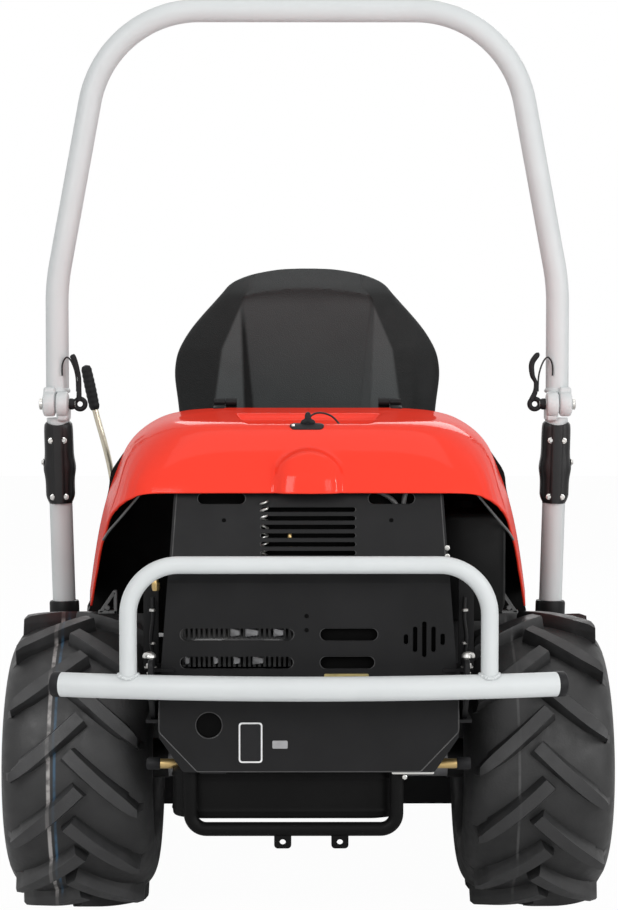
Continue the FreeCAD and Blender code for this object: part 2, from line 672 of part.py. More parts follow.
def draw_path(sketch, corners, closed):
    """Straight runs through the corners (across, up, radius), with tangent arcs of each radius."""
    corners = [tuple(Size.of(v) for v in (tuple(c) + (0,))[:3]) for c in corners]
    points = [Vector(across.value, up.value, 0) for across, up, _ in corners]
    count = len(corners)
    runs = count if closed else count - 1
    starts = {}
    ends = {}
    arcs = {}
    for i in range(count):
        bend = corners[i][2].value
        inner = closed or 0 < i < count - 1
        before = points[i - 1] - points[i]
        after = points[(i + 1) % count] - points[i]
        starts[i] = ends[i] = points[i]
        if bend > 0 and inner:
            turn = math.pi - before.getAngle(after)
            reach = bend * math.tan(turn / 2)
            before.normalize()
            after.normalize()
            ends[i] = points[i] + before * reach
            starts[i] = points[i] + after * reach
            inward = before + after
            inward.normalize()
            centre = points[i] + inward * (bend / math.cos(turn / 2))
            arcs[i] = (centre, bend, before.cross(after).z < 0)
    lines = {}
    for i in range(runs):
        run = Part.LineSegment(starts[i], ends[(i + 1) % count])
        lines[i] = sketch.addGeometry(run)
    for i, (centre, bend, left_turn) in arcs.items():
        first, last = (ends[i], starts[i]) if left_turn else (starts[i], ends[i])
        angles = [math.atan2(p.y - centre.y, p.x - centre.x) for p in (first, last)]
        circle = Part.Circle(centre, Vector(0, 0, 1), bend)
        arc = sketch.addGeometry(Part.ArcOfCircle(circle, *angles))
        corner = sketch.addGeometry(Part.Point(points[i]), True)
        enter, leave = (1, 2) if left_turn else (2, 1)
        before_line = lines[(i - 1) % count]
        sketch.addConstraint(Sketcher.Constraint("Tangent", before_line, 2, arc, enter))
        sketch.addConstraint(Sketcher.Constraint("Tangent", lines[i], 1, arc, leave))
        sketch.addConstraint(Sketcher.Constraint("PointOnObject", corner, 1, before_line))
        sketch.addConstraint(Sketcher.Constraint("PointOnObject", corner, 1, lines[i]))
        pin_point(sketch, corner, 1, corners[i][0], corners[i][1])
        index = sketch.addConstraint(Sketcher.Constraint("Radius", arc, bend))
        sketch.setExpression(f"Constraints[{index}]", corners[i][2].text)
    for i in range(count):
        if i in arcs:
            continue
        if i in lines:
            pin_point(sketch, lines[i], 1, corners[i][0], corners[i][1])
            if closed or i > 0:
                previous = lines[(i - 1) % count]
                sketch.addConstraint(Sketcher.Constraint("Coincident", previous, 2, lines[i], 1))
        else:
            pin_point(sketch, lines[i - 1], 2, corners[i][0], corners[i][1])


def draw_circle(sketch, across, up, radius):
    across, up, radius = (Size.of(v) for v in (across, up, radius))
    centre = Vector(across.value, up.value, 0)
    ring = sketch.addGeometry(Part.Circle(centre, Vector(0, 0, 1), radius.value))
    pin_point(sketch, ring, 3, across, up)
    index = sketch.addConstraint(Sketcher.Constraint("Radius", ring, radius.value))
    sketch.setExpression(f"Constraints[{index}]", radius.text)


def draw_shapes(sketch, shapes):
    """Each shape is a closed list of corners, or a circle as one tuple."""
    for shape in shapes:
        if isinstance(shape, tuple):
            draw_circle(sketch, *shape)
        else:
            draw_path(sketch, shape, closed=True)


def plate_body(name, plane, shapes, span, cuts=()):
    """A body padded between two limits across a plane, with pockets between their own limits.

    A sketch on XZ looks along +Y, so its normal is -Y and its offsets change sign.
    """
    body = doc.addObject("PartDesign::Body", name)
    low, high = (Size.of(v) for v in span)
    sketch = new_sketch(body, name + "_outline", plane, -high if plane == "XZ" else low)
    draw_shapes(sketch, shapes)
    pad = body.newObject("PartDesign::Pad", name + "_pad")
    pad.Profile = sketch
    bind(pad, Length=high - low)
    for number, (cut_plane, cut_shapes, cut_span) in enumerate(cuts):
        doc.recompute()
        before = body.Shape.Volume
        low, high = (Size.of(v) for v in cut_span)
        offset = -low if cut_plane == "XZ" else high
        sketch = new_sketch(body, f"{name}_cut_outline_{number}", cut_plane, offset)
        draw_shapes(sketch, cut_shapes)
        pocket = body.newObject("PartDesign::Pocket", f"{name}_cut_{number}")
        pocket.Profile = sketch
        bind(pocket, Length=high - low)
        doc.recompute()
        if not body.Shape.Volume < before:
            raise ValueError(f"{name}: cut {number} takes nothing away")
    return body


def turned_body(name, corners, axis="X"):
    """A body turned about X (corners are along X and radius) or about Z (radius and along Z)."""
    body = doc.addObject("PartDesign::Body", name)
    sketch = new_sketch(body, name + "_outline", "XZ", 0)
    draw_path(sketch, corners, closed=True)
    turn = body.newObject("PartDesign::Revolution", name + "_turn")
    turn.Profile = sketch
    turn.ReferenceAxis = (sketch, ["H_Axis" if axis == "X" else "V_Axis"])
    turn.Angle = 360
    return body


def bent_tube(name, radius, corners, plane_y):
    """A round tube along a path in an upright plane across the machine, starting upwards."""
    body = doc.addObject("PartDesign::Body", name)
    path = new_sketch(body, name + "_path", "XZ", -plane_y)
    draw_path(path, corners, closed=False)
    ring = new_sketch(body, name + "_ring", "XY", corners[0][1])
    draw_circle(ring, corners[0][0], plane_y, radius)
    pipe = body.newObject("PartDesign::AdditivePipe", name + "_pipe")
    pipe.Profile = ring
    pipe.Spine = (path, [""])
    return body


def free_tube(name, radius, points, radii):
    """A round tube along points in space, as straight runs joined by tangent arcs."""
    edges = []
    start = points[0]
    for i in range(1, len(points) - 1):
        before = (points[i - 1] - points[i]).normalize()
        after = (points[i + 1] - points[i]).normalize()
        turn = math.pi - before.getAngle(after)
        reach = radii[i - 1] * math.tan(turn / 2)
        first = points[i] + before * reach
        last = points[i] + after * reach
        inward = (before + after).normalize()
        rise = radii[i - 1] * (1 / math.cos(turn / 2) - 1)
        edges.append(Part.LineSegment(start, first).toShape())
        edges.append(Part.Arc(first, points[i] + inward * rise, last).toShape())
        start = last
    edges.append(Part.LineSegment(start, points[-1]).toShape())
    path = Part.Wire(edges)
    heading = points[1] - points[0]
    ring = Part.Wire([Part.Circle(points[0], heading, radius).toShape()])
    shape = path.makePipeShell([ring], True, False)
    piece = doc.addObject("Part::Feature", name)
    piece.Shape = shape
    expected = math.pi * radius ** 2 * path.Length
    if abs(shape.Volume / expected - 1) > 0.01:
        raise ValueError(f"{name}: volume does not match its length")
    return piece, path.Length


def polar_holes(body, name, circle_radius, hole_radius, count, reach):
    """Holes through a body turned about X, spaced evenly round its axis."""
    doc.recompute()
    before = body.Shape.Volume
    sketch = new_sketch(body, name + "_outline", "YZ", reach)
    draw_circle(sketch, 0, circle_radius, hole_radius)
    pocket = body.newObject("PartDesign::Pocket", name)
    pocket.Profile = sketch
    bind(pocket, Length=reach * 2)
    pattern = body.newObject("PartDesign::PolarPattern", name + "_pattern")
    pattern.Originals = [pocket]
    pattern.Axis = (origin_plane(body, "X_Axis"), [""])
    pattern.Angle = 360
    pattern.Occurrences = count
    body.Tip = pattern
    doc.recompute()
    if not body.Shape.Volume < before:
        raise ValueError(f"{name}: the holes take nothing away")


def both(corners):
    """Corners of the right half, from the bottom up, with the same ones mirrored on the left."""
    right = [tuple(Size.of(v) for v in (tuple(c) + (0,))[:3]) for c in corners]
    return right + [(-across, up, bend) for across, up, bend in reversed(right)]


# ---------------------------------------------------------------- stations along the machine

def front_reach():
    return size.wheelbase + size.front_bar_y + size.bumper_radius


def rear_reach():
    return size.rear_bar_y + size.bumper_radius


def ahead(distance):
    """The Y of a point so far ahead of the rear axle; the origin is midway along the machine."""
    return (rear_reach() - front_reach()) / 2 + distance


def behind(distance):
    return ahead(-Size.of(distance))


# ---------------------------------------------------------------- wheels

def tyre(name, radius, width, rim_width):
    """A closed tyre: beads on the rim, bulging walls, a broad flat crown."""
    seat = size.rim_seat_radius + size.seat_fit
    bead = rim_width / 2 - size.rim_sheet - size.seat_fit
    over_flange = size.rim_seat_radius + size.rim_flange_height + size.bead_cover
    half = width / 2
    wall_z = radius * TYRE_WALL
    shoulder_z = radius - size.tyre_shoulder_drop
    return turned_body(name, [
        (-bead, seat),
        (bead, seat),
        (bead, over_flange),
        (half - size.tyre_foot, over_flange + size.tyre_foot_rise),
        (half, wall_z, size.tyre_wall_bend),
        (half * TYRE_SHOULDER, shoulder_z, size.tyre_shoulder_bend),
        (half * TYRE_CROWN, radius, size.tyre_crown_bend),
        (-half * TYRE_CROWN, radius, size.tyre_crown_bend),
        (-half * TYRE_SHOULDER, shoulder_z, size.tyre_shoulder_bend),
        (-half, wall_z, size.tyre_wall_bend),
        (-half + size.tyre_foot, over_flange + size.tyre_foot_rise),
        (-bead, over_flange),
    ])


def rim(name, rim_width, disc, bore, hub_radius, hub_span):
    """Barrel, flanges, disc and hub in one turned piece; hub_span runs outwards along X."""
    half = rim_width / 2
    seat = size.rim_seat_radius
    inner = seat - size.rim_sheet
    flange = seat + size.rim_flange_height
    thin = size.rim_sheet
    hub_in, hub_out = (Size.of(v) for v in hub_span)
    body = turned_body(name, [
        (-half, inner),
        (disc - thin / 2, inner),
        (disc - thin / 2, hub_radius),
        (hub_in, hub_radius),
        (hub_in, bore),
        (hub_out, bore),
        (hub_out, hub_radius),
        (disc + thin / 2, hub_radius),
        (disc + thin / 2, inner),
        (half, inner),
        (half, flange),
        (half - thin, flange),
        (half - thin, seat),
        (-half + thin, seat),
        (-half + thin, flange),
        (-half, flange),
    ])
    polar_holes(body, name + "_bolt", size.wheel_bolt_circle, size.wheel_bolt_hole,
                WHEEL_BOLTS, half)
    return body


def make_wheels():
    """Four tyres on rims; the left ones are mirror images of the right ones."""
    rear_y = ahead(0)
    front_y = ahead(size.wheelbase)
    stations = {
        "rear": (size.rear_tyre_radius, size.rear_tyre_width, size.rear_rim_width,
                 size.rear_track_half, rear_y),
        "front": (size.front_tyre_radius, size.front_tyre_width, size.front_rim_width,
                  size.front_track_half, front_y),
    }
    for end, (radius, width, rim_width, track, y) in stations.items():
        rubber = place(tyre(end + "_tyre", radius, width, rim_width), track, y, radius)
        if end == "rear":
            # the rear rim carries its own shaft, which runs in the axle housing
            hub_in = size.axle_tube_end - track - size.rear_shaft_in
            disc = size.rear_disc_offset
            hub_span = (size.axle_tube_end - track + size.seat_fit, disc + size.rear_hub_out)
            wheel = rim("rear_rim", rim_width, disc, size.rear_pilot, size.rear_hub_radius,
                        hub_span)
            shaft = turned_body("rear_shaft", [
                (hub_in, 0), (disc, 0), (disc, size.rear_shaft_radius),
                (hub_in, size.rear_shaft_radius)])
            wheel = fuse("rear_wheel", wheel, shaft)
        else:
            disc = size.front_disc_offset
            bore = size.stub_radius + size.pin_fit
            hub_span = (disc - size.front_hub_length * HUB_INSIDE,
                        disc + size.front_hub_length * HUB_OUTSIDE)
            wheel = rim("front_rim", rim_width, disc, bore, size.front_hub_radius, hub_span)
        place(wheel, track, y, radius)
        for part, piece in (("tyre", rubber), ("rim", wheel)):
            node(f"{end}_{part}_right", piece)
            node(f"{end}_{part}_left", mirrored(f"{end}_{part}_mirror", piece))


# ---------------------------------------------------------------- chassis

def rail_top():
    return size.rail_bottom + size.rail_height


def make_chassis():
    """Two rails with the arm pivots, cross members, the engine deck and the axle bracket."""
    outer = size.rail_centre + size.rail_width / 2
    inner = size.rail_centre - size.rail_width / 2
    bottom = size.rail_bottom
    top = rail_top()
    rail = block("rail", (inner, outer), (behind(size.rail_rear), ahead(size.rail_front)),
                 (bottom, top))
    start = size.arm_centre - size.arm_sheet / 2 + size.lap
    pins = [rod(f"arm_pivot_{number}", size.arm_pin, (start, ahead(station), size.arm_pivot_z),
                inner + size.lap - start, "X")
            for number, station in enumerate((size.rear_arm_y, size.front_arm_y))]
    node("chassis_rails", both_sides("rails", fuse("rail_weldment", rail, *pins)))
    half = size.member_length / 2
    members = []
    for number, station in enumerate(MEMBERS):
        y = ahead(station)
        members.append(block(f"cross_member_{number}", (-inner, inner), (y - half, y + half),
                             (top - size.member_height, top)))
    node("cross_members", group("members", *members))
    deck = block("engine_deck_plate", (-size.engine_deck_half, size.engine_deck_half),
                 (behind(size.rail_rear), ahead(size.engine_deck_front)),
                 (top, top + size.plate))
    foot = block("tank_foot", (size.tank_inner, size.tank_inner + size.tank_foot),
                 (behind(size.tank_rear - size.tank_foot_inset),
                  ahead(size.tank_front - size.tank_foot_inset)),
                 (top, size.tank_bottom))
    node("engine_deck", fuse("engine_deck_weldment", deck, foot))
    make_axle_bracket(outer)


def make_axle_bracket(outer):
    """Two plates under the rails, and the pin that the front axle beam rocks on."""
    axle_y = ahead(size.wheelbase)
    half = size.beam_size / 2
    thick = size.axle_plate
    gap = size.seat_fit
    plates = []
    for number, face in enumerate((axle_y - half - gap - thick, axle_y + half + gap)):
        plates.append(block(f"axle_plate_{number}", (-outer, outer), (face, face + thick),
                            (size.beam_bottom + size.axle_plate_rise, size.rail_bottom)))
    reach = half + gap + thick + size.axle_pin_end
    pin = rod("axle_pivot_pin", size.kingpin_radius,
              (0, axle_y - reach, size.beam_bottom + half), reach * 2, "Y")
    node("axle_bracket", fuse("axle_bracket_weldment", pin, *plates))


def make_floor():
    """Foot boards on both sides and the narrower floor under the front cover."""
    # the hole lies where the leaning column's centre line meets the middle of the plate
    rise = size.column_sink + size.plate / 2
    hole_y = ahead(size.column_foot_y) - rise * sine(size.column_lean) / cosine(size.column_lean)
    outline = both([
        (size.seat_base_half, ahead(size.floor_rear)),
        (size.floor_half, ahead(size.floor_rear), size.floor_corner),
        (size.floor_half, ahead(size.floor_front), size.floor_corner),
        (size.nose_half, ahead(size.floor_front)),
        (size.nose_half, ahead(size.nose_front)),
    ])
    top = rail_top()
    hole = (0, hole_y, size.column_radius + size.floor_hole_room)
    node("floor_pan", plate_body(
        "floor_plate", "XY", [outline], (top, top + size.plate),
        [("XY", [hole], (top, top + size.plate))]))


def make_rear_axle():
    """Gear housing under the rails with a tube out to each rear wheel."""
    radius = size.rear_tyre_radius
    y = ahead(0)
    half = size.axle_housing_half
    length = size.axle_housing_length
    bend = size.axle_housing_bend
    side_z = radius - size.axle_housing_drop * HOUSING_SIDE
    housing = plate_body("gear_housing", "YZ", [[
        (y - length / 2, side_z, bend),
        (y - length / 4, radius - size.axle_housing_drop, bend),
        (y + length / 4, radius - size.axle_housing_drop, bend),
        (y + length / 2, side_z, bend),
        (y + length / 2, size.rail_bottom),
        (y - length / 2, size.rail_bottom),
    ]], (-half, half))
    tube = rod("axle_tube", size.axle_tube_radius, (-size.axle_tube_end, y, radius),
               size.axle_tube_end * 2, "X")
    bore_radius = size.rear_shaft_radius + size.pin_fit
    bore = rod("axle_bore", bore_radius, (size.axle_tube_end - size.axle_bore_depth, y, radius),
               size.axle_bore_depth + size.overrun, "X")
    node("rear_axle_housing", cut("axle_casting", fuse("axle_blank", housing, tube),
                                  bore, mirrored("axle_bore_left", bore)))


def make_engine():
    deck = rail_top() + size.plate
    node("engine_block", block("engine", (-size.engine_half, size.engine_half),
                               (behind(size.engine_rear), ahead(size.engine_front)),
                               (deck, deck + size.engine_height)))
    tank = plate_body("tank", "XZ", [[
        (size.tank_inner, size.tank_bottom, size.tank_bend),
        (size.tank_outer, size.tank_bottom, size.tank_outer_bend),
        (size.tank_outer, size.tank_top, size.tank_outer_bend),
        (size.tank_inner, size.tank_top, size.tank_bend),
    ]], (behind(size.tank_rear), ahead(size.tank_front)))
    node("fuel_tank", tank)


def make_bulkhead():
    """The upright sheet between engine and seat, with the fixed halves of the hood's hinges."""
    deck = rail_top() + size.plate
    gap = size.running_gap
    face = ahead(size.bulkhead_y)
    step = size.bulkhead_step
    sheet_plate = plate_body("bulkhead_sheet", "XZ", [both([
        (size.engine_deck_half, deck),
        (size.engine_deck_half, size.hood_skirt_z - step),
        (size.hood_skirt_half - size.bulkhead_skirt_gap, size.hood_skirt_z + step, step),
        (size.hood_shoulder_half - size.bulkhead_shoulder_gap,
         size.hood_shoulder_z - size.bulkhead_shoulder_drop, size.bulkhead_shoulder_bend),
        (size.hood_top_half - size.bulkhead_top_gap, size.hood_top - gap,
         size.bulkhead_top_bend),
    ])], (face, face + size.cover_wall))
    axis_y = ahead(size.hinge_y)
    axis_z = size.hood_top + size.hinge_rise
    start = size.hinge_centre - size.hinge_length - size.lap
    barrel = rod("fixed_barrel", size.hinge_barrel, (start, axis_y, axis_z),
                 size.hinge_length, "X")
    pin = rod("hinge_pin_rod", size.hinge_pin, (start, axis_y, axis_z),
              size.hinge_length * 2 + size.lap, "X")
    leaf = block("fixed_leaf", (start, start + size.hinge_length),
                 (axis_y, face + size.cover_wall), (axis_z - size.fixed_leaf, axis_z))
    room = block("fixed_leaf_room", (start - size.lap, start + size.hinge_length + size.lap),
                 (axis_y - size.overrun, face),
                 (axis_z - size.fixed_leaf - size.overrun, axis_z - size.hinge_barrel))
    hinge = cut("fixed_hinge", fuse("fixed_hinge_blank", barrel, pin, leaf), room)
    node("bulkhead", fuse("bulkhead_weldment", sheet_plate, hinge, mirrored("fixed_left", hinge)))


# ---------------------------------------------------------------- hood

def hood_form(name, inset, overrun):
    """The hood as the common part of three outlines: seen from behind, from the side, from above.

    inset moves the skin inwards; overrun lets the inner form run out of the open sides.
    """
    top = size.hood_top - inset
    low = size.hood_skirt_z - overrun
    front = ahead(size.hinge_y - size.hinge_barrel - size.running_gap) + overrun
    rear = behind(size.hood_rear - inset)
    from_behind = plate_body(name + "_from_behind", "XZ", [both([
        (size.hood_skirt_half - inset, low),
        (size.hood_shoulder_half - inset, size.hood_shoulder_z, size.hood_shoulder_bend),
        (size.hood_top_half, top, size.hood_top_bend),
    ])], (rear - size.overrun, front))
    if inset:
        lower_edge = [(rear, size.hood_rear_z), (rear, low)]
    else:
        lower_edge = [(rear, size.hood_rear_z),
                      (behind(size.hood_skirt_start), low, size.hood_skirt_bend)]
    from_side = plate_body(name + "_from_side", "YZ", [lower_edge + [
        (front, low),
        (front, top),
        (behind(size.hood_crease - inset), top - size.hood_crease_drop,
         size.hood_crease_bend),
    ]], (-size.hood_front_half - size.overrun, size.hood_front_half + size.overrun))
    from_above = plate_body(name + "_from_above", "XY", [[
        (-size.hood_front_half + inset, front),
        (-size.hood_rear_half + inset, rear, size.hood_corner_radius - inset),
        (size.hood_rear_half - inset, rear, size.hood_corner_radius - inset),
        (size.hood_front_half - inset, front),
    ]], (low - size.overrun, top + size.overrun))
    return common(name, from_behind, from_side, from_above)


def recess_floor():
    """Height of the recess's floor at the crease."""
    return size.hood_top - size.hood_crease_drop - size.recess_rear_depth


def hood_recess(name, inset):
    """The room above the sunk middle of the hood's top, which opens to the rear."""
    slope = size.hood_crease_drop / (size.hinge_y + size.hood_crease)
    front_top = size.hood_top - slope * (size.hinge_y + size.recess_front)
    front = behind(size.recess_front) + inset
    crease = behind(size.hood_crease)
    rear = behind(size.hood_rear)
    floor_z = recess_floor() - inset
    above = size.hood_top + size.overrun
    along = plate_body(name + "_along", "YZ", [[
        (rear, floor_z), (crease, floor_z), (front, front_top - size.recess_depth - inset),
        (front, above), (rear, above)]],
        (-size.recess_half - size.overrun, size.recess_half + size.overrun))
    half = size.recess_half + inset
    rear_half = size.recess_rear_half + inset
    plan = plate_body(name + "_plan", "XY", [[
        (-rear_half, rear), (rear_half, rear), (rear_half, crease),
        (half, front, size.recess_bend), (-half, front, size.recess_bend),
        (-rear_half, crease)]], (floor_z - size.overrun, above))
    return common(name, along, plan)


def hood_bulge():
    """A round-topped bulge that stands on the rear slope and ends at the lower edge."""
    run = size.hood_rear - size.hood_crease
    fall = size.hood_top - size.hood_crease_drop - size.hood_rear_z
    slope = root(run * run + fall * fall)
    sink = size.bulge_radius - size.bulge_rise
    start = (0, behind(size.hood_rear) + sink * fall / slope, size.hood_rear_z - sink * run / slope)
    lean = -arc_sine(run / slope)
    body = doc.addObject("Part::Cylinder", "bulge_body")
    bind(body, Radius=size.bulge_radius, Height=size.bulge_length)
    place(body, *start, axis=(1, 0, 0), degrees=lean)
    crown = doc.addObject("Part::Sphere", "bulge_crown")
    bind(crown, Radius=size.bulge_radius)
    place(crown, 0, start[1] + size.bulge_length * run / slope,
          start[2] + size.bulge_length * fall / slope)
    return body, crown


def make_hood():
    """The engine hood: a thin shell with a recess, a bulge and the moving hinge halves."""
    outer = cut("hood_skin", hood_form("hood_outer", 0, 0), hood_recess("recess", 0))
    room = cut("hood_room", hood_form("hood_inner", size.cover_wall, size.room_overrun),
               hood_recess("recess_room", size.cover_wall))
    latch_hole = rod("latch_hole", size.latch_stem + size.seat_fit,
                     (0, behind(size.latch_station), recess_floor() - size.overrun),
                     size.overrun * 2)
    shell = cut("hood_shell", fuse("hood_raised", outer, *hood_bulge()), room, latch_hole)
    axis_y = ahead(size.hinge_y)
    axis_z = size.hood_top + size.hinge_rise
    start = size.hinge_centre
    barrel = rod("moving_barrel", size.hinge_barrel, (start, axis_y, axis_z),
                 size.hinge_length, "X")
    leaf = block("moving_leaf", (start, start + size.hinge_length), (axis_y - size.moving_leaf, axis_y),
                 (size.hood_top - size.cover_wall, axis_z))
    bore = rod("moving_bore", size.hinge_pin + size.pin_fit, (start - size.lap, axis_y, axis_z),
               size.hinge_length + size.lap * 2, "X")
    hinge = cut("moving_hinge", fuse("moving_hinge_blank", barrel, leaf), bore)
    node("engine_hood", fuse("hood_weldment", shell, hinge, mirrored("moving_left", hinge)))


def make_latch():
    """A wing knob on a short stem that runs through the floor of the hood's recess."""
    y = behind(size.latch_station)
    floor_z = recess_floor()
    stem = rod("latch_rod", size.latch_stem, (0, y, floor_z - size.latch_stem_below),
               size.latch_stem_length)
    half = size.latch_width / 2
    wing = plate_body("latch_wing", "XZ", [both([
        (size.latch_stem, floor_z + size.wing_root),
        (half, floor_z + size.wing_low, size.wing_bend),
        (half, floor_z + size.wing_high, size.wing_bend),
        (size.latch_stem - size.wing_waist_in, floor_z + size.wing_waist),
    ])], (y - size.wing_half, y + size.wing_half))
    node("hood_latch", fuse("latch_knob", stem, wing))


# ---------------------------------------------------------------- rear end

def slot(name, left, right, low, high, y_span):
    """A round-ended slot's cutter, long in either direction."""
    left, right, low, high = (Size.of(v) for v in (left, right, low, high))
    wide = right - left
    tall = high - low
    depth = y_span[1] - y_span[0]
    if tall.value > wide.value:
        radius = wide / 2
        ends = [((left + right) / 2, z) for z in (low + radius, high - radius)]
        middle = block(name + "_middle", (left, right), y_span, (low + radius, high - radius))
    else:
        radius = tall / 2
        ends = [(x, (low + high) / 2) for x in (left + radius, right - radius)]
        middle = block(name + "_middle", (left + radius, right - radius), y_span, (low, high))
    rounds = [rod(f"{name}_end_{k}", radius, (x, y_span[0], z), depth, "Y")
              for k, (x, z) in enumerate(ends)]
    return fuse(name, middle, *rounds)


def panel_slots(y_span):
    """Cutters for the cooling slots, the louvres, the upright vents and the round hole."""
    spans = list(COOLING_SLOTS)
    for k in range(LOUVRES):
        low = size.louvre_z + size.louvre_pitch * k
        spans.append((size.louvre_left, size.louvre_right, low, low + size.louvre_height))
    for k, reach in enumerate(VENTS):
        middle = size.vent_start + size.vent_pitch * k
        spans.append((middle - size.vent_half, middle + size.vent_half,
                      size.vent_z - reach, size.vent_z + reach))
    cutters = [slot(f"panel_slot_{k}", *span, y_span) for k, span in enumerate(spans)]
    hole = rod("panel_round_hole", size.panel_hole_radius,
               (size.panel_hole_x, y_span[0], size.panel_hole_z), y_span[1] - y_span[0], "Y")
    return cutters + [hole]


def make_panel():
    """The black sheet behind the engine: leaning top, chamfered foot, rows of slots."""
    inner = behind(size.panel_plane)
    outer = inner - size.panel_sheet
    lean = size.panel_top_lean
    profile = plate_body("panel_side", "YZ", [[
        (outer, size.panel_bottom_z),
        (inner, size.panel_bottom_z),
        (inner, size.panel_bend_z),
        (inner + lean, size.panel_top_z),
        (outer + lean, size.panel_top_z),
        (outer, size.panel_bend_z),
    ]], (-size.panel_half, size.panel_half))
    edge = size.panel_half
    through = (outer - size.overrun, inner + lean + size.overrun)
    outline = plate_body("panel_outline", "XZ", [both([
        (edge - size.panel_chamfer_across, size.panel_bottom_z, size.panel_foot_bend),
        (edge, size.panel_bottom_z + size.panel_chamfer_up, size.panel_chamfer_bend),
        (edge, size.panel_bottom_z + size.panel_taper_up, size.panel_taper_bend),
        (size.panel_top_half + size.panel_shoulder_out,
         size.panel_bend_z + size.panel_shoulder_up, size.panel_taper_bend),
        (size.panel_top_half, size.panel_top_z),
    ])], through)
    blank = common("panel_blank", profile, outline)
    slots = panel_slots(through)
    node("rear_guard_panel", cut("panel_sheet_metal", blank, *slots))


def make_rear_bumper():
    """A bar bent to a gentle arc, the loop welded on it, and the brackets that carry them."""
    bend = size.rear_bar_bend
    radius = size.bumper_radius
    angle = arc_sine(size.rear_bar_half / bend) * 2
    bar = doc.addObject("Part::Torus", "rear_bar")
    bind(bar, Radius1=bend, Radius2=radius, Angle3=angle)
    place(bar, 0, behind(size.rear_bar_y) + bend, size.rear_bar_z,
          axis=(0, 0, 1), degrees=270 - angle / 2)
    loop = bent_tube("rear_loop", size.bumper_guard_radius, [
        (-size.rear_guard_half, size.rear_bar_z),
        (-size.rear_guard_half, size.rear_guard_top, size.rear_guard_bend),
        (size.rear_guard_half, size.rear_guard_top, size.rear_guard_bend),
        (size.rear_guard_half, size.rear_bar_z),
    ], behind(size.rear_guard_y))
    deck = rail_top() + size.plate
    half = size.bracket_sheet / 2
    nose = behind(size.rear_bar_y - size.bracket_reach)
    foot = behind(size.rail_rear - size.bracket_foot)
    top = size.rear_bar_z + size.bracket_rise
    bracket = plate_body("bumper_bracket_sheet", "YZ", [[
        (nose, size.rear_bar_z - size.bracket_drop),
        (behind(size.rail_rear - size.bracket_foot_gap), deck),
        (foot, deck),
        (foot, deck + size.bracket_foot_rise, size.bracket_foot_bend),
        (behind(size.rail_rear - size.bracket_shoulder), top, size.bracket_top_bend),
        (nose, top, size.bracket_nose_bend),
    ]], (size.bumper_bracket - half, size.bumper_bracket + half))
    node("rear_bumper", fuse("bumper_weldment", bar, loop, bracket,
                             mirrored("bumper_bracket_left", bracket)))


def make_silencer():
    """A flat box with round corners under the panel, its guard tube and the two tow lugs."""
    centre = size.silencer_centre
    half = size.silencer_half
    corner = size.silencer_corner
    node("silencer_box", plate_body("silencer", "XY", [[
        (centre - half, behind(size.silencer_rear), corner),
        (centre + half, behind(size.silencer_rear), corner),
        (centre + half, behind(size.silencer_front), corner),
        (centre - half, behind(size.silencer_front), corner),
    ]], (size.silencer_bottom, size.rail_bottom)))
    reach = size.under_tube_half
    y = behind(size.silencer_rear) - size.under_tube_radius - size.seat_fit
    # the left leg passes beside its rail up to the engine deck, the right one ends at its rail
    left = centre + size.under_tube_shift - reach
    right = centre + size.under_tube_shift + reach
    tube = bent_tube("under_tube", size.under_tube_radius, [
        (left, rail_top()),
        (left, size.under_tube_z, size.under_tube_bend),
        (right, size.under_tube_z, size.under_tube_bend),
        (right, size.rail_bottom),
    ], y)
    tube_low = size.under_tube_z - size.under_tube_radius
    lugs = []
    for side in (-1, 1):
        middle = size.tow_lug_apart * side + size.tow_lug_shift
        hole_z = tube_low - size.tow_lug_drop / 2
        lugs.append(plate_body(f"tow_lug_{side + 1}", "XZ", [[
            (middle - size.tow_lug_width / 2, tube_low - size.tow_lug_drop, size.tow_lug_bend),
            (middle + size.tow_lug_width / 2, tube_low - size.tow_lug_drop, size.tow_lug_bend),
            (middle + size.tow_lug_width / 2, size.under_tube_z),
            (middle - size.tow_lug_width / 2, size.under_tube_z),
        ], (middle, hole_z, size.tow_hole_radius)],
            (y - size.tow_lug_half, y + size.tow_lug_half)))
    node("under_guard_tube", fuse("under_guard", tube, *lugs))


# ---------------------------------------------------------------- roll-over frame

def lean_from_hinge(piece):
    """Stand a piece built about its own Z axis under the fold hinge, leaning in at its foot."""
    return place(piece, size.rops_hinge_half, ahead(size.rops_y), size.rops_hinge_z,
                 axis=(0, 1, 0), degrees=size.rops_foot_lean)


def ring_x():
    """The middle of the ring on a fold hinge pin; the ring just clears the knuckle."""
    return (size.rops_hinge_half - size.knuckle_half - size.ring_radius - size.ring_wire
            - size.lap)


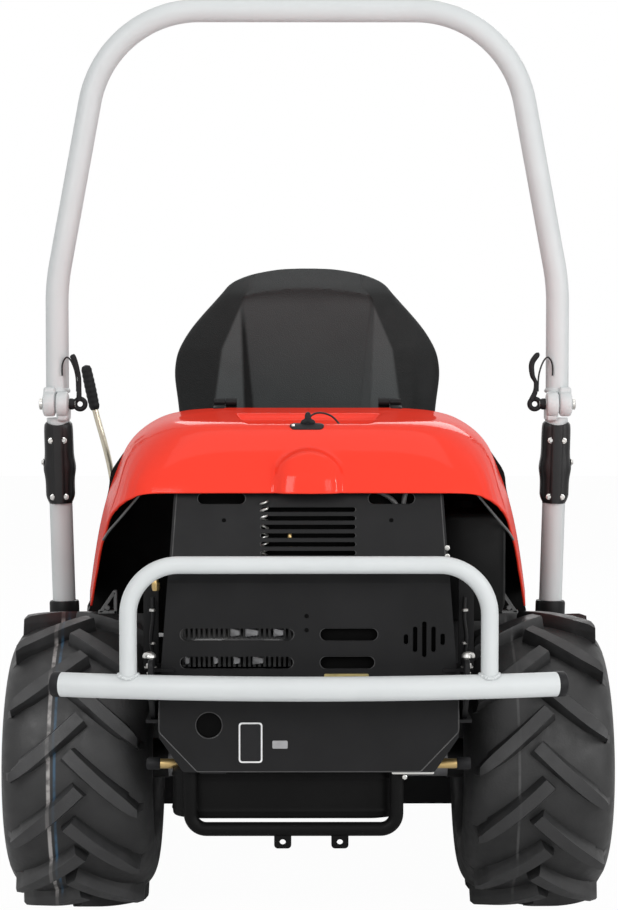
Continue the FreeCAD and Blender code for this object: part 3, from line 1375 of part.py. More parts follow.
def make_rops():
    """The fixed posts, sockets and clamps, and the folding hoop on its two hinges."""
    radius = size.rops_tube_radius
    hinge_z = size.rops_hinge_z
    knuckle = size.knuckle_radius
    reach = size.knuckle_reach
    thick = size.knuckle_block
    post_length = hinge_z - size.post_bottom_z
    tube = lean_from_hinge(group("post_axis", rod(
        "post_tube", radius, (0, 0, -post_length), post_length - reach - size.post_top_gap)))
    y = ahead(size.rops_y)
    axis_y = y - size.rops_hinge_back
    x = size.rops_hinge_half
    half = size.knuckle_half
    # the lower knuckle is the inner half of the hinge, the upper one the outer half
    seam = size.seat_fit / 2
    front = y + radius - size.knuckle_inset
    back = axis_y - size.knuckle_block_back

    def knuckle_half(name, x_span, z_span):
        barrel = rod(name + "_barrel", knuckle, (x_span[0], axis_y, hinge_z),
                     x_span[1] - x_span[0], "X")
        web = block(name + "_web", x_span, (axis_y, front), z_span)
        return fuse(name, barrel, web)

    lower = knuckle_half("lower_knuckle", (x - half, x - seam), (hinge_z - reach, hinge_z))
    upper = knuckle_half("upper_knuckle", (x + seam, x + half), (hinge_z, hinge_z + reach))
    post_bridge = block("post_bridge", (x - half, x + half - size.knuckle_inset),
                        (back, front), (hinge_z - reach - thick, hinge_z - reach))
    hoop_bridge = block("hoop_bridge", (x - half + size.knuckle_inset, x + half),
                        (back, front), (hinge_z + reach, hinge_z + reach + thick))
    bore = rod("fold_bore", size.rops_pin_radius + size.pin_fit,
               (x - half - size.overrun, axis_y, hinge_z), (half + size.overrun) * 2, "X")
    post = cut("post_right", fuse("post_weldment", tube, lower, post_bridge), bore)
    node("rops_posts", both_sides("posts", post))
    # hoop
    hoop = bent_tube("hoop_tube", radius, [
        (-x, hinge_z + reach),
        (-x, size.rops_lean_z, size.rops_leg_bend),
        (-size.rops_top_half, size.rops_top_z, size.rops_corner_bend),
        (size.rops_top_half, size.rops_top_z, size.rops_corner_bend),
        (x, size.rops_lean_z, size.rops_leg_bend),
        (x, hinge_z + reach),
    ], y)
    upper = cut("upper_right", fuse("upper_weldment", upper, hoop_bridge), bore)
    node("rops_hoop", fuse("hoop_weldment", hoop, upper, mirrored("upper_left", upper)))
    # pin with a ring on its inner end
    pin = rod("fold_pin", size.rops_pin_radius, (x - half - size.rops_pin_in, axis_y, hinge_z),
              half * 2 + size.rops_pin_in + size.rops_pin_out, "X")
    head = rod("fold_pin_head", size.rops_pin_radius + size.rops_head_step,
               (x + half + size.rops_head_gap, axis_y, hinge_z), size.rops_head, "X")
    eye = doc.addObject("Part::Torus", "fold_pin_eye")
    bind(eye, Radius1=size.ring_radius, Radius2=size.ring_wire)
    place(eye, ring_x(), axis_y, hinge_z + size.ring_rise, axis=(1, 0, 0), degrees=90)
    node("rops_pins", both_sides("pins", fuse("pin_right", pin, head, eye)))
    make_rops_feet(radius)


def make_rops_feet(radius):
    """Clamps round the posts, and the beam with its sockets."""
    hinge_z = size.rops_hinge_z
    fit = size.seat_fit
    low = size.clamp_bottom_z - hinge_z
    high = size.clamp_top_z - hinge_z
    clamp_radius = radius + size.clamp_wall
    shell = rod("clamp_shell", clamp_radius, (0, 0, low), high - low)
    half = size.clamp_half
    flange = plate_body("clamp_flanges", "XZ", [both([
        (half - size.clamp_foot_in, low), (half, low + size.clamp_foot_up),
        (half, high - size.clamp_head_down), (half - size.clamp_head_in, high)])],
        (-size.clamp_flange / 2, size.clamp_flange / 2))
    lug = rod("clamp_lug", size.clamp_lug_radius, (0, 0, (low + high) / 2),
              half + size.clamp_lug_out, "X")
    bore = rod("clamp_bore", radius + fit, (0, 0, low - size.overrun),
               high - low + size.overrun * 2)
    clamp = cut("clamp", fuse("clamp_blank", shell, flange, lug), bore)
    node("rops_clamps", both_sides("clamps", lean_from_hinge(clamp)))
    # beam and sockets
    top = rail_top()
    beam_size = size.rops_base_size
    y = ahead(size.rops_y)
    beam = block("rops_beam", (-size.rops_base_half, size.rops_base_half),
                 (y - beam_size / 2, y + beam_size / 2), (top, top + beam_size))
    tall = size.socket_top_z - top
    down = size.socket_top_z - hinge_z
    foot = size.socket_foot
    tube = rod("socket_tube", radius + size.socket_wall, (0, 0, down - tall + foot), tall - foot)
    room = rod("socket_room", radius + fit, (0, 0, size.post_bottom_z - hinge_z),
               size.socket_top_z - size.post_bottom_z + size.overrun)
    socket = lean_from_hinge(group("socket_axis", tube))
    room = lean_from_hinge(group("socket_room_axis", room))
    base = fuse("rops_base_blank", beam, socket, mirrored("socket_left", socket))
    node("rops_base", cut("rops_base_weldment", base, room, mirrored("room_left", room)))


# ---------------------------------------------------------------- seat and controls

def make_seat():
    """Seat back, cushion and the box that carries them."""
    base_z = size.seat_height
    foot_y = ahead(size.seat_y)
    back = plate_body("back_form", "XZ", [both(SEAT_BACK)], (0, size.seat_back_thickness))
    node("seat_back", place(back, 0, foot_y, base_z, axis=(1, 0, 0), degrees=size.seat_lean))
    half = size.cushion_half
    start = foot_y + size.seat_back_thickness
    node("seat_cushion", plate_body("cushion_form", "XY", [[
        (-half, start, size.seat_rear_bend),
        (half, start, size.seat_rear_bend),
        (half, start + size.cushion_length, size.seat_front_bend),
        (-half, start + size.cushion_length, size.seat_front_bend),
    ]], (base_z, base_z + size.cushion_thickness)))
    wide = size.seat_base_half
    narrow = wide - size.seat_box_taper
    rear = foot_y - size.seat_box_rear
    front = start + size.cushion_length - size.seat_box_front
    node("seat_base", plate_body("seat_box", "XY", [[
        (-wide, rear, size.seat_box_bend),
        (wide, rear, size.seat_box_bend),
        (wide, ahead(size.floor_rear)),
        (narrow, front, size.seat_box_front_bend),
        (-narrow, front, size.seat_box_front_bend),
        (-wide, ahead(size.floor_rear)),
    ]], (rail_top() + size.plate, base_z)))


def make_controls():
    """Steering column and gear, dashboard, pedals and the lift lever."""
    foot_y = ahead(size.column_foot_y)
    top = rail_top()
    column = rod("column_tube", size.column_radius, (0, 0, 0), size.column_length)
    place(column, 0, foot_y, top - size.column_sink, axis=(1, 0, 0), degrees=size.column_lean)
    gear = block("steering_gear_box", (-size.gear_half, size.gear_half),
                 (foot_y - size.gear_length / 2, foot_y + size.gear_length / 2),
                 (size.gear_bottom, top - size.gear_top_gap))
    inner = size.rail_centre - size.rail_width / 2
    mount = block("steering_gear_mount", (-inner, inner),
                  (foot_y - size.gear_mount_half, foot_y + size.gear_mount_half),
                  (top - size.gear_mount_low, top - size.gear_mount_high))
    node("steering_column", fuse("column_and_gear", column, gear, mount))
    wheel = steering_wheel_form()
    lean = size.column_lean
    reach = size.column_length + size.seat_fit
    wheel_y = foot_y - reach * sine(lean)
    wheel_z = top - size.column_sink + reach * cosine(lean)
    node("steering_wheel", place(wheel, 0, wheel_y, wheel_z, axis=(1, 0, 0), degrees=lean))
    make_pedals(top + size.plate)


def make_pedals(floor):
    """Three pedals: a leaning pad on a short stem."""
    y = ahead(size.floor_front) - size.pedal_back
    thin = size.pedal_stem
    half = size.pedal_half
    reach = size.pedal_reach
    pedals = []
    for number, x in enumerate(PEDALS):
        stem = block(f"pedal_stem_{number}", (x - thin, x + thin), (y - thin, y + thin),
                     (floor, floor + size.pedal_height))
        pad = block(f"pedal_pad_{number}", (-half, half), (-reach, reach),
                    (0, size.pedal_sheet))
        place(pad, x - half, y - reach, floor + size.pedal_low, axis=(1, 0, 0),
              degrees=size.pedal_lean)
        pedals.append(fuse(f"pedal_{number}", stem, pad))
    node("pedals", group("pedal_set", *pedals))


def steering_wheel_form():
    """Rim, spokes and hub about the Z axis, with the hub's foot at the origin."""
    rise = size.wheel_rise
    ring = doc.addObject("Part::Torus", "steering_rim")
    bind(ring, Radius1=size.wheel_rim_radius, Radius2=size.wheel_rim_tube)
    place(ring, 0, 0, rise)
    hub = cone("steering_hub", size.column_radius + size.wheel_hub_step, size.wheel_hub_radius,
               (0, 0, 0), rise + size.wheel_hub_above)
    half = size.spoke_half
    spokes = []
    for number in range(SPOKES):
        spoke = block(f"spoke_{number}", (0, size.wheel_rim_radius), (-half, half),
                      (rise - size.spoke_thick, rise + size.spoke_thick))
        turn = 90 + 360 / SPOKES * number
        place(spoke, half * sine(turn), -half * cosine(turn), rise - size.spoke_thick,
              axis=(0, 0, 1), degrees=turn)
        spokes.append(spoke)
    return fuse("steering_wheel_weldment", ring, hub, *spokes)


def make_lift_lever():
    """A bent rod with a grip, on a bracket on the left foot board."""
    foot, bend, top = (Vector(x, ahead(y).value, z)
                       for x, y, z in (LEVER_FOOT, LEVER_BEND, LEVER_TOP))
    rod_piece, _ = free_tube("lever_rod", size.lever_radius.value, [foot, bend, top],
                             [size.lever_bend.value])
    grip_start = bend + (top - bend) * GRIP_START
    grip_end = top + (top - bend).normalize() * size.grip_end.value
    grip = doc.addObject("Part::Feature", "lever_grip")
    grip.Shape = Part.makeCylinder(size.grip_radius.value, (grip_end - grip_start).Length,
                                   grip_start, grip_end - grip_start)
    x = Size.of(LEVER_FOOT[0])
    y = ahead(LEVER_FOOT[1])
    floor = rail_top() + size.plate
    half = size.lever_bracket_half
    reach = size.lever_bracket_reach
    foot_block = block("lever_bracket", (x - half, x + half), (y - reach, y + reach),
                       (floor, floor + size.lever_bracket_height))
    node("lift_lever", fuse("lever", rod_piece, grip, foot_block))


def make_front_cover():
    """The red cover over the front of the chassis, with the dashboard at its rear."""
    floor = rail_top() + size.plate

    def form(name, inset, overrun):
        rear = ahead(size.floor_front + size.nose_rear_gap) + inset
        front = ahead(size.nose_front) - inset
        side = plate_body(name + "_side", "YZ", [[
            (rear, floor - overrun),
            (front, floor - overrun),
            (front, floor + size.nose_low_rise - inset, size.nose_low_bend),
            (ahead(size.wheelbase), floor + size.nose_mid_rise - inset, size.nose_mid_bend),
            (rear + size.dash_setback, floor + size.dash_rise - inset, size.dash_bend),
            (rear, floor + size.dash_foot_rise - inset, size.dash_bend),
        ]], (-size.nose_half - size.overrun, size.nose_half + size.overrun))
        half = size.nose_half - inset
        narrow = half - size.nose_taper
        taper = ahead(size.wheelbase) - size.nose_taper_start
        plan = plate_body(name + "_plan", "XY", [[
            (-half, rear, size.nose_corner),
            (half, rear, size.nose_corner),
            (half, taper, size.nose_taper_bend),
            (narrow, front, size.nose_front_bend),
            (-narrow, front, size.nose_front_bend),
            (-half, taper, size.nose_taper_bend),
        ]], (floor - overrun, floor + size.dash_rise + size.overrun))
        return common(name, side, plan)

    foot_y = ahead(size.column_foot_y)
    room = rod("column_room", size.column_radius + size.column_room, (0, 0, 0),
               size.column_length)
    place(room, 0, foot_y, rail_top() - size.column_sink, axis=(1, 0, 0), degrees=size.column_lean)
    node("front_cover", cut("front_shell", form("nose_outer", 0, 0),
                            form("nose_inner", size.cover_wall, size.room_overrun), room))


def make_front_bumper():
    """Front bar with a loop, carried by the ends of the rails."""
    y = ahead(size.wheelbase + size.front_bar_y)
    z = size.front_bar_z
    bar = rod("front_bar", size.bumper_radius, (-size.front_bar_half, y, z),
              size.front_bar_half * 2, "X")
    loop = bent_tube("front_loop", size.bumper_guard_radius, [
        (-size.front_guard_half, z),
        (-size.front_guard_half, size.front_guard_top, size.rear_guard_bend),
        (size.front_guard_half, size.front_guard_top, size.rear_guard_bend),
        (size.front_guard_half, z),
    ], y)
    half = size.bracket_sheet / 2
    tall = size.front_bracket_half
    top = rail_top() - size.front_bracket_gap
    bracket = plate_body("front_bracket", "YZ", [[
        (ahead(size.rail_front), size.rail_bottom + size.front_bracket_low),
        (y, z - tall),
        (y, z + tall),
        (ahead(size.nose_front) + size.front_bracket_reach, top),
        (ahead(size.rail_front), top),
    ]], (size.rail_centre - half, size.rail_centre + half))
    node("front_bumper", fuse("front_bumper_weldment", bar, loop, bracket,
                              mirrored("front_bracket_left", bracket)))


# ---------------------------------------------------------------- front axle and steering

def make_front_axle():
    """The beam with a fork and a kingpin at each end."""
    y = ahead(size.wheelbase)
    half = size.beam_size / 2
    bottom = size.beam_bottom
    web_in = size.kingpin_half - size.fork_inset
    beam = block("axle_beam", (-web_in, web_in), (y - half, y + half),
                 (bottom, bottom + size.beam_size))
    pivot_room = rod("axle_pivot_room", size.kingpin_radius + size.pin_fit,
                     (0, y - half - size.overrun, bottom + half),
                     size.beam_size + size.overrun * 2, "Y")
    thick = size.ear_thickness
    low = size.lower_ear_z - thick
    web_start = web_in - size.fork_web
    ear = size.ear_radius
    tip = size.kingpin_half + ear
    web = block("fork_web", (web_start, web_in), (y - ear, y + ear),
                (low, bottom + size.fork_web_rise))
    ears = []
    for number, z in enumerate((low, size.upper_ear_z)):
        ears.append(plate_body(f"ear_{number}", "XY", [[
            (web_start, y - ear),
            (tip, y - ear, ear - size.end_flat),
            (tip, y + ear, ear - size.end_flat),
            (web_start, y + ear),
        ]], (z, z + thick)))
    kingpin = rod("kingpin", size.kingpin_radius,
                  (size.kingpin_half, y, low - size.kingpin_end),
                  size.upper_ear_z + thick - low + size.kingpin_end * 2)
    fork = fuse("fork", web, kingpin, *ears)
    node("front_axle_beam", cut("front_axle", fuse("front_axle_blank", beam, fork,
                                                   mirrored("fork_left", fork)), pivot_room))


def arm_plate(name, x, y, length, z_span):
    """A flat arm from a vertical axis straight back to its pin."""
    half = size.steer_arm_width / 2
    return plate_body(name, "XY", [[
        (x - half, y - length - half, half - size.end_flat),
        (x + half, y - length - half, half - size.end_flat),
        (x + half, y),
        (x - half, y),
    ]], z_span)


def make_steering():
    """Knuckles, tie rod and pitman arm: three equal parallel arms joined by the tie rod."""
    y = ahead(size.wheelbase)
    gap = size.steer_gap
    low = size.lower_ear_z + gap
    high = size.upper_ear_z - gap
    x = size.kingpin_half
    arm_top = size.steer_arm_z + size.steer_plate
    eye_low = arm_top + gap
    eye_high = eye_low + size.tie_eye_height
    barrel = rod("knuckle_barrel_rod", size.knuckle_barrel, (x, y, low), high - low)
    stub_end = (size.front_track_half + size.front_disc_offset
                + size.front_hub_length * HUB_OUTSIDE)
    stub = rod("stub_axle", size.stub_radius, (x, y, size.front_tyre_radius), stub_end - x, "X")
    arm = arm_plate("knuckle_arm", x, y, size.steer_arm, (size.steer_arm_z, arm_top))
    pin = rod("tie_pin", size.tie_pin_radius, (x, y - size.steer_arm, arm_top),
              size.tie_pin_length)
    bore = rod("kingpin_bore", size.kingpin_radius + size.pin_fit, (x, y, low - size.overrun),
               high - low + size.overrun * 2)
    right = cut("knuckle", fuse("knuckle_blank", barrel, stub, arm, pin), bore)
    node("steering_knuckle_right", right)
    node("steering_knuckle_left", mirrored("knuckle_mirror", right))
    # tie rod with three eyes; the middle one is on a tongue behind it
    rod_y = y - size.steer_arm
    rod_z = (eye_low + eye_high) / 2
    tube = rod("tie_tube", size.tie_rod_radius, (-x, rod_y, rod_z), x * 2, "X")
    eye = rod("tie_eye", size.tie_eye_radius, (x, rod_y, eye_low), size.tie_eye_height)
    middle_eye = rod("tie_middle_eye", size.tie_eye_radius, (0, rod_y - size.tie_tongue, eye_low),
                     size.tie_eye_height)
    tongue = block("tie_tongue", (-size.tongue_half, size.tongue_half),
                   (rod_y - size.tie_tongue, rod_y),
                   (rod_z - size.tongue_thick, rod_z + size.tongue_thick))
    holes = []
    for number, (hole_x, hole_y) in enumerate((
            (x, rod_y), (-x, rod_y), (0, rod_y - size.tie_tongue))):
        holes.append(rod(f"tie_hole_{number}", size.tie_pin_radius + size.pin_fit,
                         (hole_x, hole_y, eye_low - size.overrun),
                         size.tie_eye_height + size.overrun * 2))
    node("tie_rod", cut("tie_rod_forging", fuse("tie_blank", tube, eye,
                                                mirrored("tie_eye_left", eye),
                                                middle_eye, tongue), *holes))
    # pitman arm above the tie rod, on the shaft of the steering gear
    pivot_y = y - size.tie_tongue
    pitman_low = eye_high + size.pitman_gap
    shaft = rod("pitman_shaft", size.pitman_shaft_radius, (0, pivot_y, pitman_low),
                size.gear_bottom - pitman_low - gap)
    lever = arm_plate("pitman_plate", Size.of(0), pivot_y, size.steer_arm,
                      (pitman_low, pitman_low + size.steer_plate))
    pitman_pin = rod("pitman_pin", size.tie_pin_radius, (0, pivot_y - size.steer_arm, eye_low),
                     pitman_low - eye_low)
    node("pitman_arm", fuse("pitman", shaft, lever, pitman_pin))


# ---------------------------------------------------------------- mower deck

def make_deck():
    """A shell open below, the belt cover, the arm brackets and two blade rotors."""
    rear = ahead(size.deck_rear)
    front = ahead(size.deck_front)
    half = size.deck_half
    wall = size.deck_sheet
    corner = size.deck_corner

    def plan(inset):
        bend = corner - inset
        return [(-half + inset, rear + inset, bend), (half - inset, rear + inset, bend),
                (half - inset, front - inset, bend), (-half + inset, front - inset, bend)]

    middle = (rear + front) / 2
    bore = size.spindle_radius + size.pin_fit
    shell = plate_body("deck_shell", "XY", [plan(0)], (size.deck_bottom, size.deck_top), [
        ("XY", [plan(wall)], (size.deck_bottom, size.deck_top - wall))])
    housings = []
    bores = []
    for side in (-1, 1):
        x = size.spindle_half * side
        housings.append(rod(f"spindle_housing_{side + 1}", size.spindle_housing,
                            (x, middle, size.deck_top - size.housing_below),
                            size.housing_below + size.housing_above))
        bores.append(rod(f"spindle_bore_{side + 1}", bore,
                         (x, middle, size.deck_top - size.housing_below - size.overrun),
                         size.housing_below + size.housing_above + size.overrun * 2))
    brackets = []
    for number, station in enumerate((size.rear_arm_y, size.front_arm_y)):
        pin_y = ahead(station) + arm_reach()
        inner = size.arm_centre - size.arm_sheet / 2 - size.arm_bracket_gap
        outside = inner - size.arm_bracket_sheet
        head_z = size.arm_pin_z + size.arm_bracket_rise
        plate = plate_body(f"arm_bracket_{number}", "YZ", [[
            (pin_y - size.arm_bracket_foot, size.deck_top),
            (pin_y + size.arm_bracket_foot, size.deck_top),
            (pin_y + size.arm_bracket_head, head_z, size.arm_bracket_bend),
            (pin_y - size.arm_bracket_head, head_z, size.arm_bracket_bend),
        ]], (outside, inner))
        pin = rod(f"arm_pin_{number}", size.arm_pin, (outside, pin_y, size.arm_pin_z),
                  size.arm_bracket_sheet + size.arm_bracket_gap + size.arm_sheet
                  + size.arm_pin_end, "X")
        bracket = fuse(f"arm_mount_{number}", plate, pin)
        brackets += [bracket, mirrored(f"arm_mount_left_{number}", bracket)]
    node("mower_deck", cut("deck_weldment", fuse("deck_blank", shell, *housings), *bores))
    node("deck_brackets", group("arm_mounts", *brackets))
    make_belt_cover(middle)
    make_rotors(middle)


def arm_reach():
    """How far ahead of its pivot an arm's other pin lies, as parked."""
    drop = size.arm_pivot_z - size.arm_pin_z
    return root(size.arm_length * size.arm_length - drop * drop)


def make_belt_cover(middle):
    """The low cover over the pulleys on the deck."""
    half = size.belt_cover_half
    reach = size.belt_cover_length / 2
    low = size.deck_top
    wall = size.belt_cover_wall

    def plan(inset):
        bend = size.belt_cover_bend - inset
        return [(-half + inset, middle - reach + inset, bend),
                (half - inset, middle - reach + inset, bend),
                (half - inset, middle + reach - inset, bend),
                (-half + inset, middle + reach - inset, bend)]

    node("belt_cover", plate_body(
        "cover_shell", "XY", [plan(0)], (low, low + size.belt_cover_height),
        [("XY", [plan(wall)], (low, low + size.belt_cover_height - wall))]))


def make_rotors(middle):
    """Each rotor is a blade bar and hub on a spindle that runs up through the deck."""
    z = size.blade_z
    thick = size.blade_sheet
    half = size.blade_length / 2
    width = size.blade_width / 2
    top = size.deck_top + size.belt_cover_height - size.spindle_top_gap
    x = size.spindle_half
    corner = width * BLADE_CORNER
    blade = plate_body("blade_bar", "XY", [[
        (-half, middle - corner),
        (-half + size.blade_tip, middle - width),
        (half, middle - width),
        (half, middle + corner),
        (half - size.blade_tip, middle + width),
        (-half, middle + width),
    ]], (z, z + thick))
    place(blade, x, 0, 0)
    hub = rod("blade_hub", size.spindle_housing - size.blade_hub_step, (x, middle, z + thick),
              size.deck_top - size.housing_below - z - thick - size.rotor_gap)
    nut = rod("blade_nut", size.blade_nut_radius, (x, middle, z - size.blade_nut_height),
              size.blade_nut_height)
    shaft = rod("spindle_shaft", size.spindle_radius, (x, middle, z + thick), top - z - thick)
    rotor = fuse("rotor", blade, hub, nut, shaft)
    node("blade_rotor_right", rotor)
    node("blade_rotor_left", mirrored("rotor_mirror", rotor))


def make_deck_arms():
    """Front and rear pairs of arms; a cross tube joins the two arms of a pair."""
    drop = size.arm_pivot_z - size.arm_pin_z
    fall = arc_sine(drop / size.arm_length)
    for name, station in (("rear", size.rear_arm_y), ("front", size.front_arm_y)):
        half = size.arm_sheet / 2
        width = size.arm_width / 2
        eye = size.arm_eye
        inner = size.arm_centre - half
        length = size.arm_length
        bar = block(f"{name}_arm_bar", (inner, inner + size.arm_sheet), (0, length),
                    (-width, width))
        ends = [rod(f"{name}_arm_eye_{k}", eye, (inner, length * k, 0), size.arm_sheet, "X")
                for k in (0, 1)]
        holes = [rod(f"{name}_arm_hole_{k}", size.arm_pin + size.pin_fit,
                     (inner - size.lap, length * k, 0), size.arm_sheet + size.lap * 2, "X")
                 for k in (0, 1)]
        arm = cut(f"{name}_arm", fuse(f"{name}_arm_blank", bar, *ends), *holes)
        tube = rod(f"{name}_cross_tube", size.cross_tube_radius, (-inner, 0, 0), inner * 2, "X")
        arms = fuse(f"{name}_arms", arm, mirrored(f"{name}_arm_left", arm), tube)
        node(f"deck_arms_{name}", place(arms, 0, ahead(station), size.arm_pivot_z,
                                        axis=(1, 0, 0), degrees=-fall))


# ---------------------------------------------------------------- cords

def limp_radii(points):
    """The largest arc that each corner's two runs leave room for."""
    radii = []
    for i in range(1, len(points) - 1):
        before = points[i - 1] - points[i]
        after = points[i + 1] - points[i]
        turn = math.pi - before.getAngle(after)
        radii.append(CORD_BEND * min(before.Length, after.Length) / math.tan(turn / 2))
    return radii


def make_cord(name, points):
    radii = limp_radii(points)
    piece, length = free_tube(name + "_tube", size.strap_radius.value, points, radii)
    print(name, "length", round(length, 1), "radii", [round(r, 1) for r in radii])
    node(name, piece)


def make_cords():
    """A lanyard from each fold pin's ring up along the hoop leg, and the latch's cord."""
    x = ring_x().value
    y = (ahead(size.rops_y) - size.rops_hinge_back).value
    z = size.rops_hinge_z.value
    right = [Vector(x, y, z) + Vector(*step) for step in LANYARD]
    make_cord("pin_lanyard_right", right)
    make_cord("pin_lanyard_left", [Vector(-p.x, p.y, p.z) for p in right])
    latch = Vector((size.latch_width / 2).value, behind(size.latch_station).value,
                   recess_floor().value)
    make_cord("latch_cord", [latch + Vector(*step) for step in LATCH_CORD])


# ---------------------------------------------------------------- check and write

def check(piece):
    if "Invalid" in piece.State or "Error" in piece.State:
        raise ValueError(f"{piece.Label}: {piece.State}")


def main():
    fill_sheet()
    make_wheels()
    make_chassis()
    make_floor()
    make_rear_axle()
    make_engine()
    make_bulkhead()
    make_hood()
    make_latch()
    make_panel()
    make_rear_bumper()
    make_silencer()
    make_rops()
    make_seat()
    make_controls()
    make_lift_lever()
    make_front_cover()
    make_front_bumper()
    make_front_axle()
    make_steering()
    make_deck()
    make_deck_arms()
    make_cords()
    doc.recompute()
    for piece in doc.Objects:
        check(piece)
    os.makedirs("parts", exist_ok=True)
    for piece in nodes:
        shape = piece.Shape
        if shape.isNull() or not shape.isValid():
            raise ValueError(f"{piece.Label}: shape is not valid")
        shape.exportStep(f"parts/{piece.Label}.step")
    print(len(nodes), "sub-parts written")


main()
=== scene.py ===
"""Ride-on brush mower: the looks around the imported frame, in metres.

X points to the machine's right, Y forwards and Z up. Every new piece is a surface worked out
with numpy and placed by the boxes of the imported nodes.
"""

import json
import math

import bmesh
import bpy
import numpy as np
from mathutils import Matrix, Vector


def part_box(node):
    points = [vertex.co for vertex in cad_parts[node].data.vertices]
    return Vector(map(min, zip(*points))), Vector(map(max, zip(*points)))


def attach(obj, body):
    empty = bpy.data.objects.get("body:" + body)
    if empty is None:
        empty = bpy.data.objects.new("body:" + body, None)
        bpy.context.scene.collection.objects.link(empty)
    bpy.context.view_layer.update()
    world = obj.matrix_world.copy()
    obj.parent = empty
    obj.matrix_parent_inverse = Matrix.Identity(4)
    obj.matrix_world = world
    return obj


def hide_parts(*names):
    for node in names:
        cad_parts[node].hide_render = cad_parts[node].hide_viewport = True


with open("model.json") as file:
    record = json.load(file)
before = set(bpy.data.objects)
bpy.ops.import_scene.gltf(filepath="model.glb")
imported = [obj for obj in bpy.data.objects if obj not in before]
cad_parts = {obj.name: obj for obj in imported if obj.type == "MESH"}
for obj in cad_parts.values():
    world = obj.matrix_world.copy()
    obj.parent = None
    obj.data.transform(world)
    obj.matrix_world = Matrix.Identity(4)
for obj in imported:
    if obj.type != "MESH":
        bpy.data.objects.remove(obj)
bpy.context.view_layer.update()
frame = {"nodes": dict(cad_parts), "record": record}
NODES = frame["nodes"]
REAR_AXLE = tuple((a + b) / 2 for a, b in zip(*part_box("rear_tyre_right")))[1:]
FRONT_AXLE = tuple((a + b) / 2 for a, b in zip(*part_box("front_tyre_right")))[1:]


# ---------------------------------------------------------------- surfaces

def grid_faces(rows, columns, wrap_rows=False, wrap_columns=False, start=0):
    """Quads between neighbouring points of a grid numbered row by row."""
    i = np.arange(rows if wrap_rows else rows - 1)
    j = np.arange(columns if wrap_columns else columns - 1)
    i, j = (a.ravel() for a in np.meshgrid(i, j, indexing="ij"))
    next_i = (i + 1) % rows
    next_j = (j + 1) % columns
    corners = [i * columns + j, next_i * columns + j, next_i * columns + next_j,
               i * columns + next_j]
    return np.stack(corners, axis=1) + start


class Shape:
    """Points and faces gathered from several surfaces before they become one mesh."""

    def __init__(self):
        self.points = []
        self.faces = []
        self.count = 0

    def grid(self, points, wrap_rows=False, wrap_columns=False, cap_rows=False):
        """A grid of points (rows, columns, 3), or several of them on a further first axis.

        cap_rows closes its first and last row.
        """
        if points.ndim == 4:
            for each in points:
                self.grid(each, wrap_rows, wrap_columns, cap_rows)
            return self
        rows, columns = points.shape[:2]
        self.faces.extend(grid_faces(rows, columns, wrap_rows, wrap_columns, self.count).tolist())
        if cap_rows:
            first = np.arange(columns) + self.count
            last = first + (rows - 1) * columns
            self.faces.extend([first.tolist(), last[::-1].tolist()])
        self.points.append(points.reshape(-1, 3))
        self.count += rows * columns
        return self

    def tube(self, points):
        """A grid whose columns run round and meet, as those of a turned profile do."""
        return self.grid(points, wrap_columns=True)

    def solid(self, points):
        """A tube closed at its first and last row, as a plate or a bar is."""
        return self.grid(points, wrap_columns=True, cap_rows=True)

    def loop(self, points):
        """A tube whose last row meets its first, as that of a ring does."""
        return self.grid(points, wrap_rows=True, wrap_columns=True)

    def piece(self, name, body, slot, look=None, smooth=40.0, subdivide=0, replaces=()):
        """The finished piece: one mesh on one body, with a look or else its slot's own."""
        mesh = bpy.data.meshes.new(name)
        mesh.from_pydata(np.concatenate(self.points).tolist(), [], self.faces)
        mesh.validate()
        mesh.update()
        thing = bpy.data.objects.new(name, mesh)
        bpy.context.scene.collection.objects.link(thing)
        face_outwards(mesh)
        if subdivide:
            fine = thing.modifiers.new("fine", "SUBSURF")
            fine.levels = fine.render_levels = subdivide
        shade(mesh, smooth)
        mesh.materials.append(LOOKS[look or slot])
        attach(thing, body)
        if replaces:
            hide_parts(*replaces)
        return thing


def face_outwards(mesh):
    """Merge doubles and make all the faces of each closed shell point outwards."""
    work = bmesh.new()
    work.from_mesh(mesh)
    bmesh.ops.remove_doubles(work, verts=work.verts, dist=1e-6)
    bmesh.ops.recalc_face_normals(work, faces=work.faces)
    work.to_mesh(mesh)
    work.free()


def shade(mesh, angle):
    """Smooth faces, with sharp edges where neighbours meet at more than the angle."""
    mesh.polygons.foreach_set("use_smooth", np.ones(len(mesh.polygons), bool))
    mesh.set_sharp_from_angle(angle=math.radians(angle))


def ring(radius, count, start=0.0):
    """Points of a circle about the origin: cosine and sine of evenly spaced angles."""
    angle = start + np.linspace(0, 2 * np.pi, count, endpoint=False)
    return np.stack([np.cos(angle), np.sin(angle)], axis=1) * radius


def turned(profile, axis="X", centre=(0, 0, 0), count=96):
    """A profile of (along, radius) turned about an axis: each point sweeps a circle."""
    profile = np.asarray(profile, float)
    circle = ring(1.0, count)
    along = np.repeat(profile[:, :1], count, axis=1)
    one = profile[:, 1:2] * circle[:, 0]
    two = profile[:, 1:2] * circle[:, 1]
    order = {"X": (along, one, two), "Y": (two, along, one), "Z": (one, two, along)}[axis]
    return np.stack(order, axis=2) + np.asarray(centre, float)


def lathe(profile, axis="X", centre=(0, 0, 0), count=96):
    """A turned solid: a profile's end that stops short of the axis runs straight in to it."""
    start = [(along, 0.0) for along, radius in profile[:1] if radius]
    end = [(along, 0.0) for along, radius in profile[-1:] if radius]
    return turned([*start, *profile, *end], axis, centre, count)


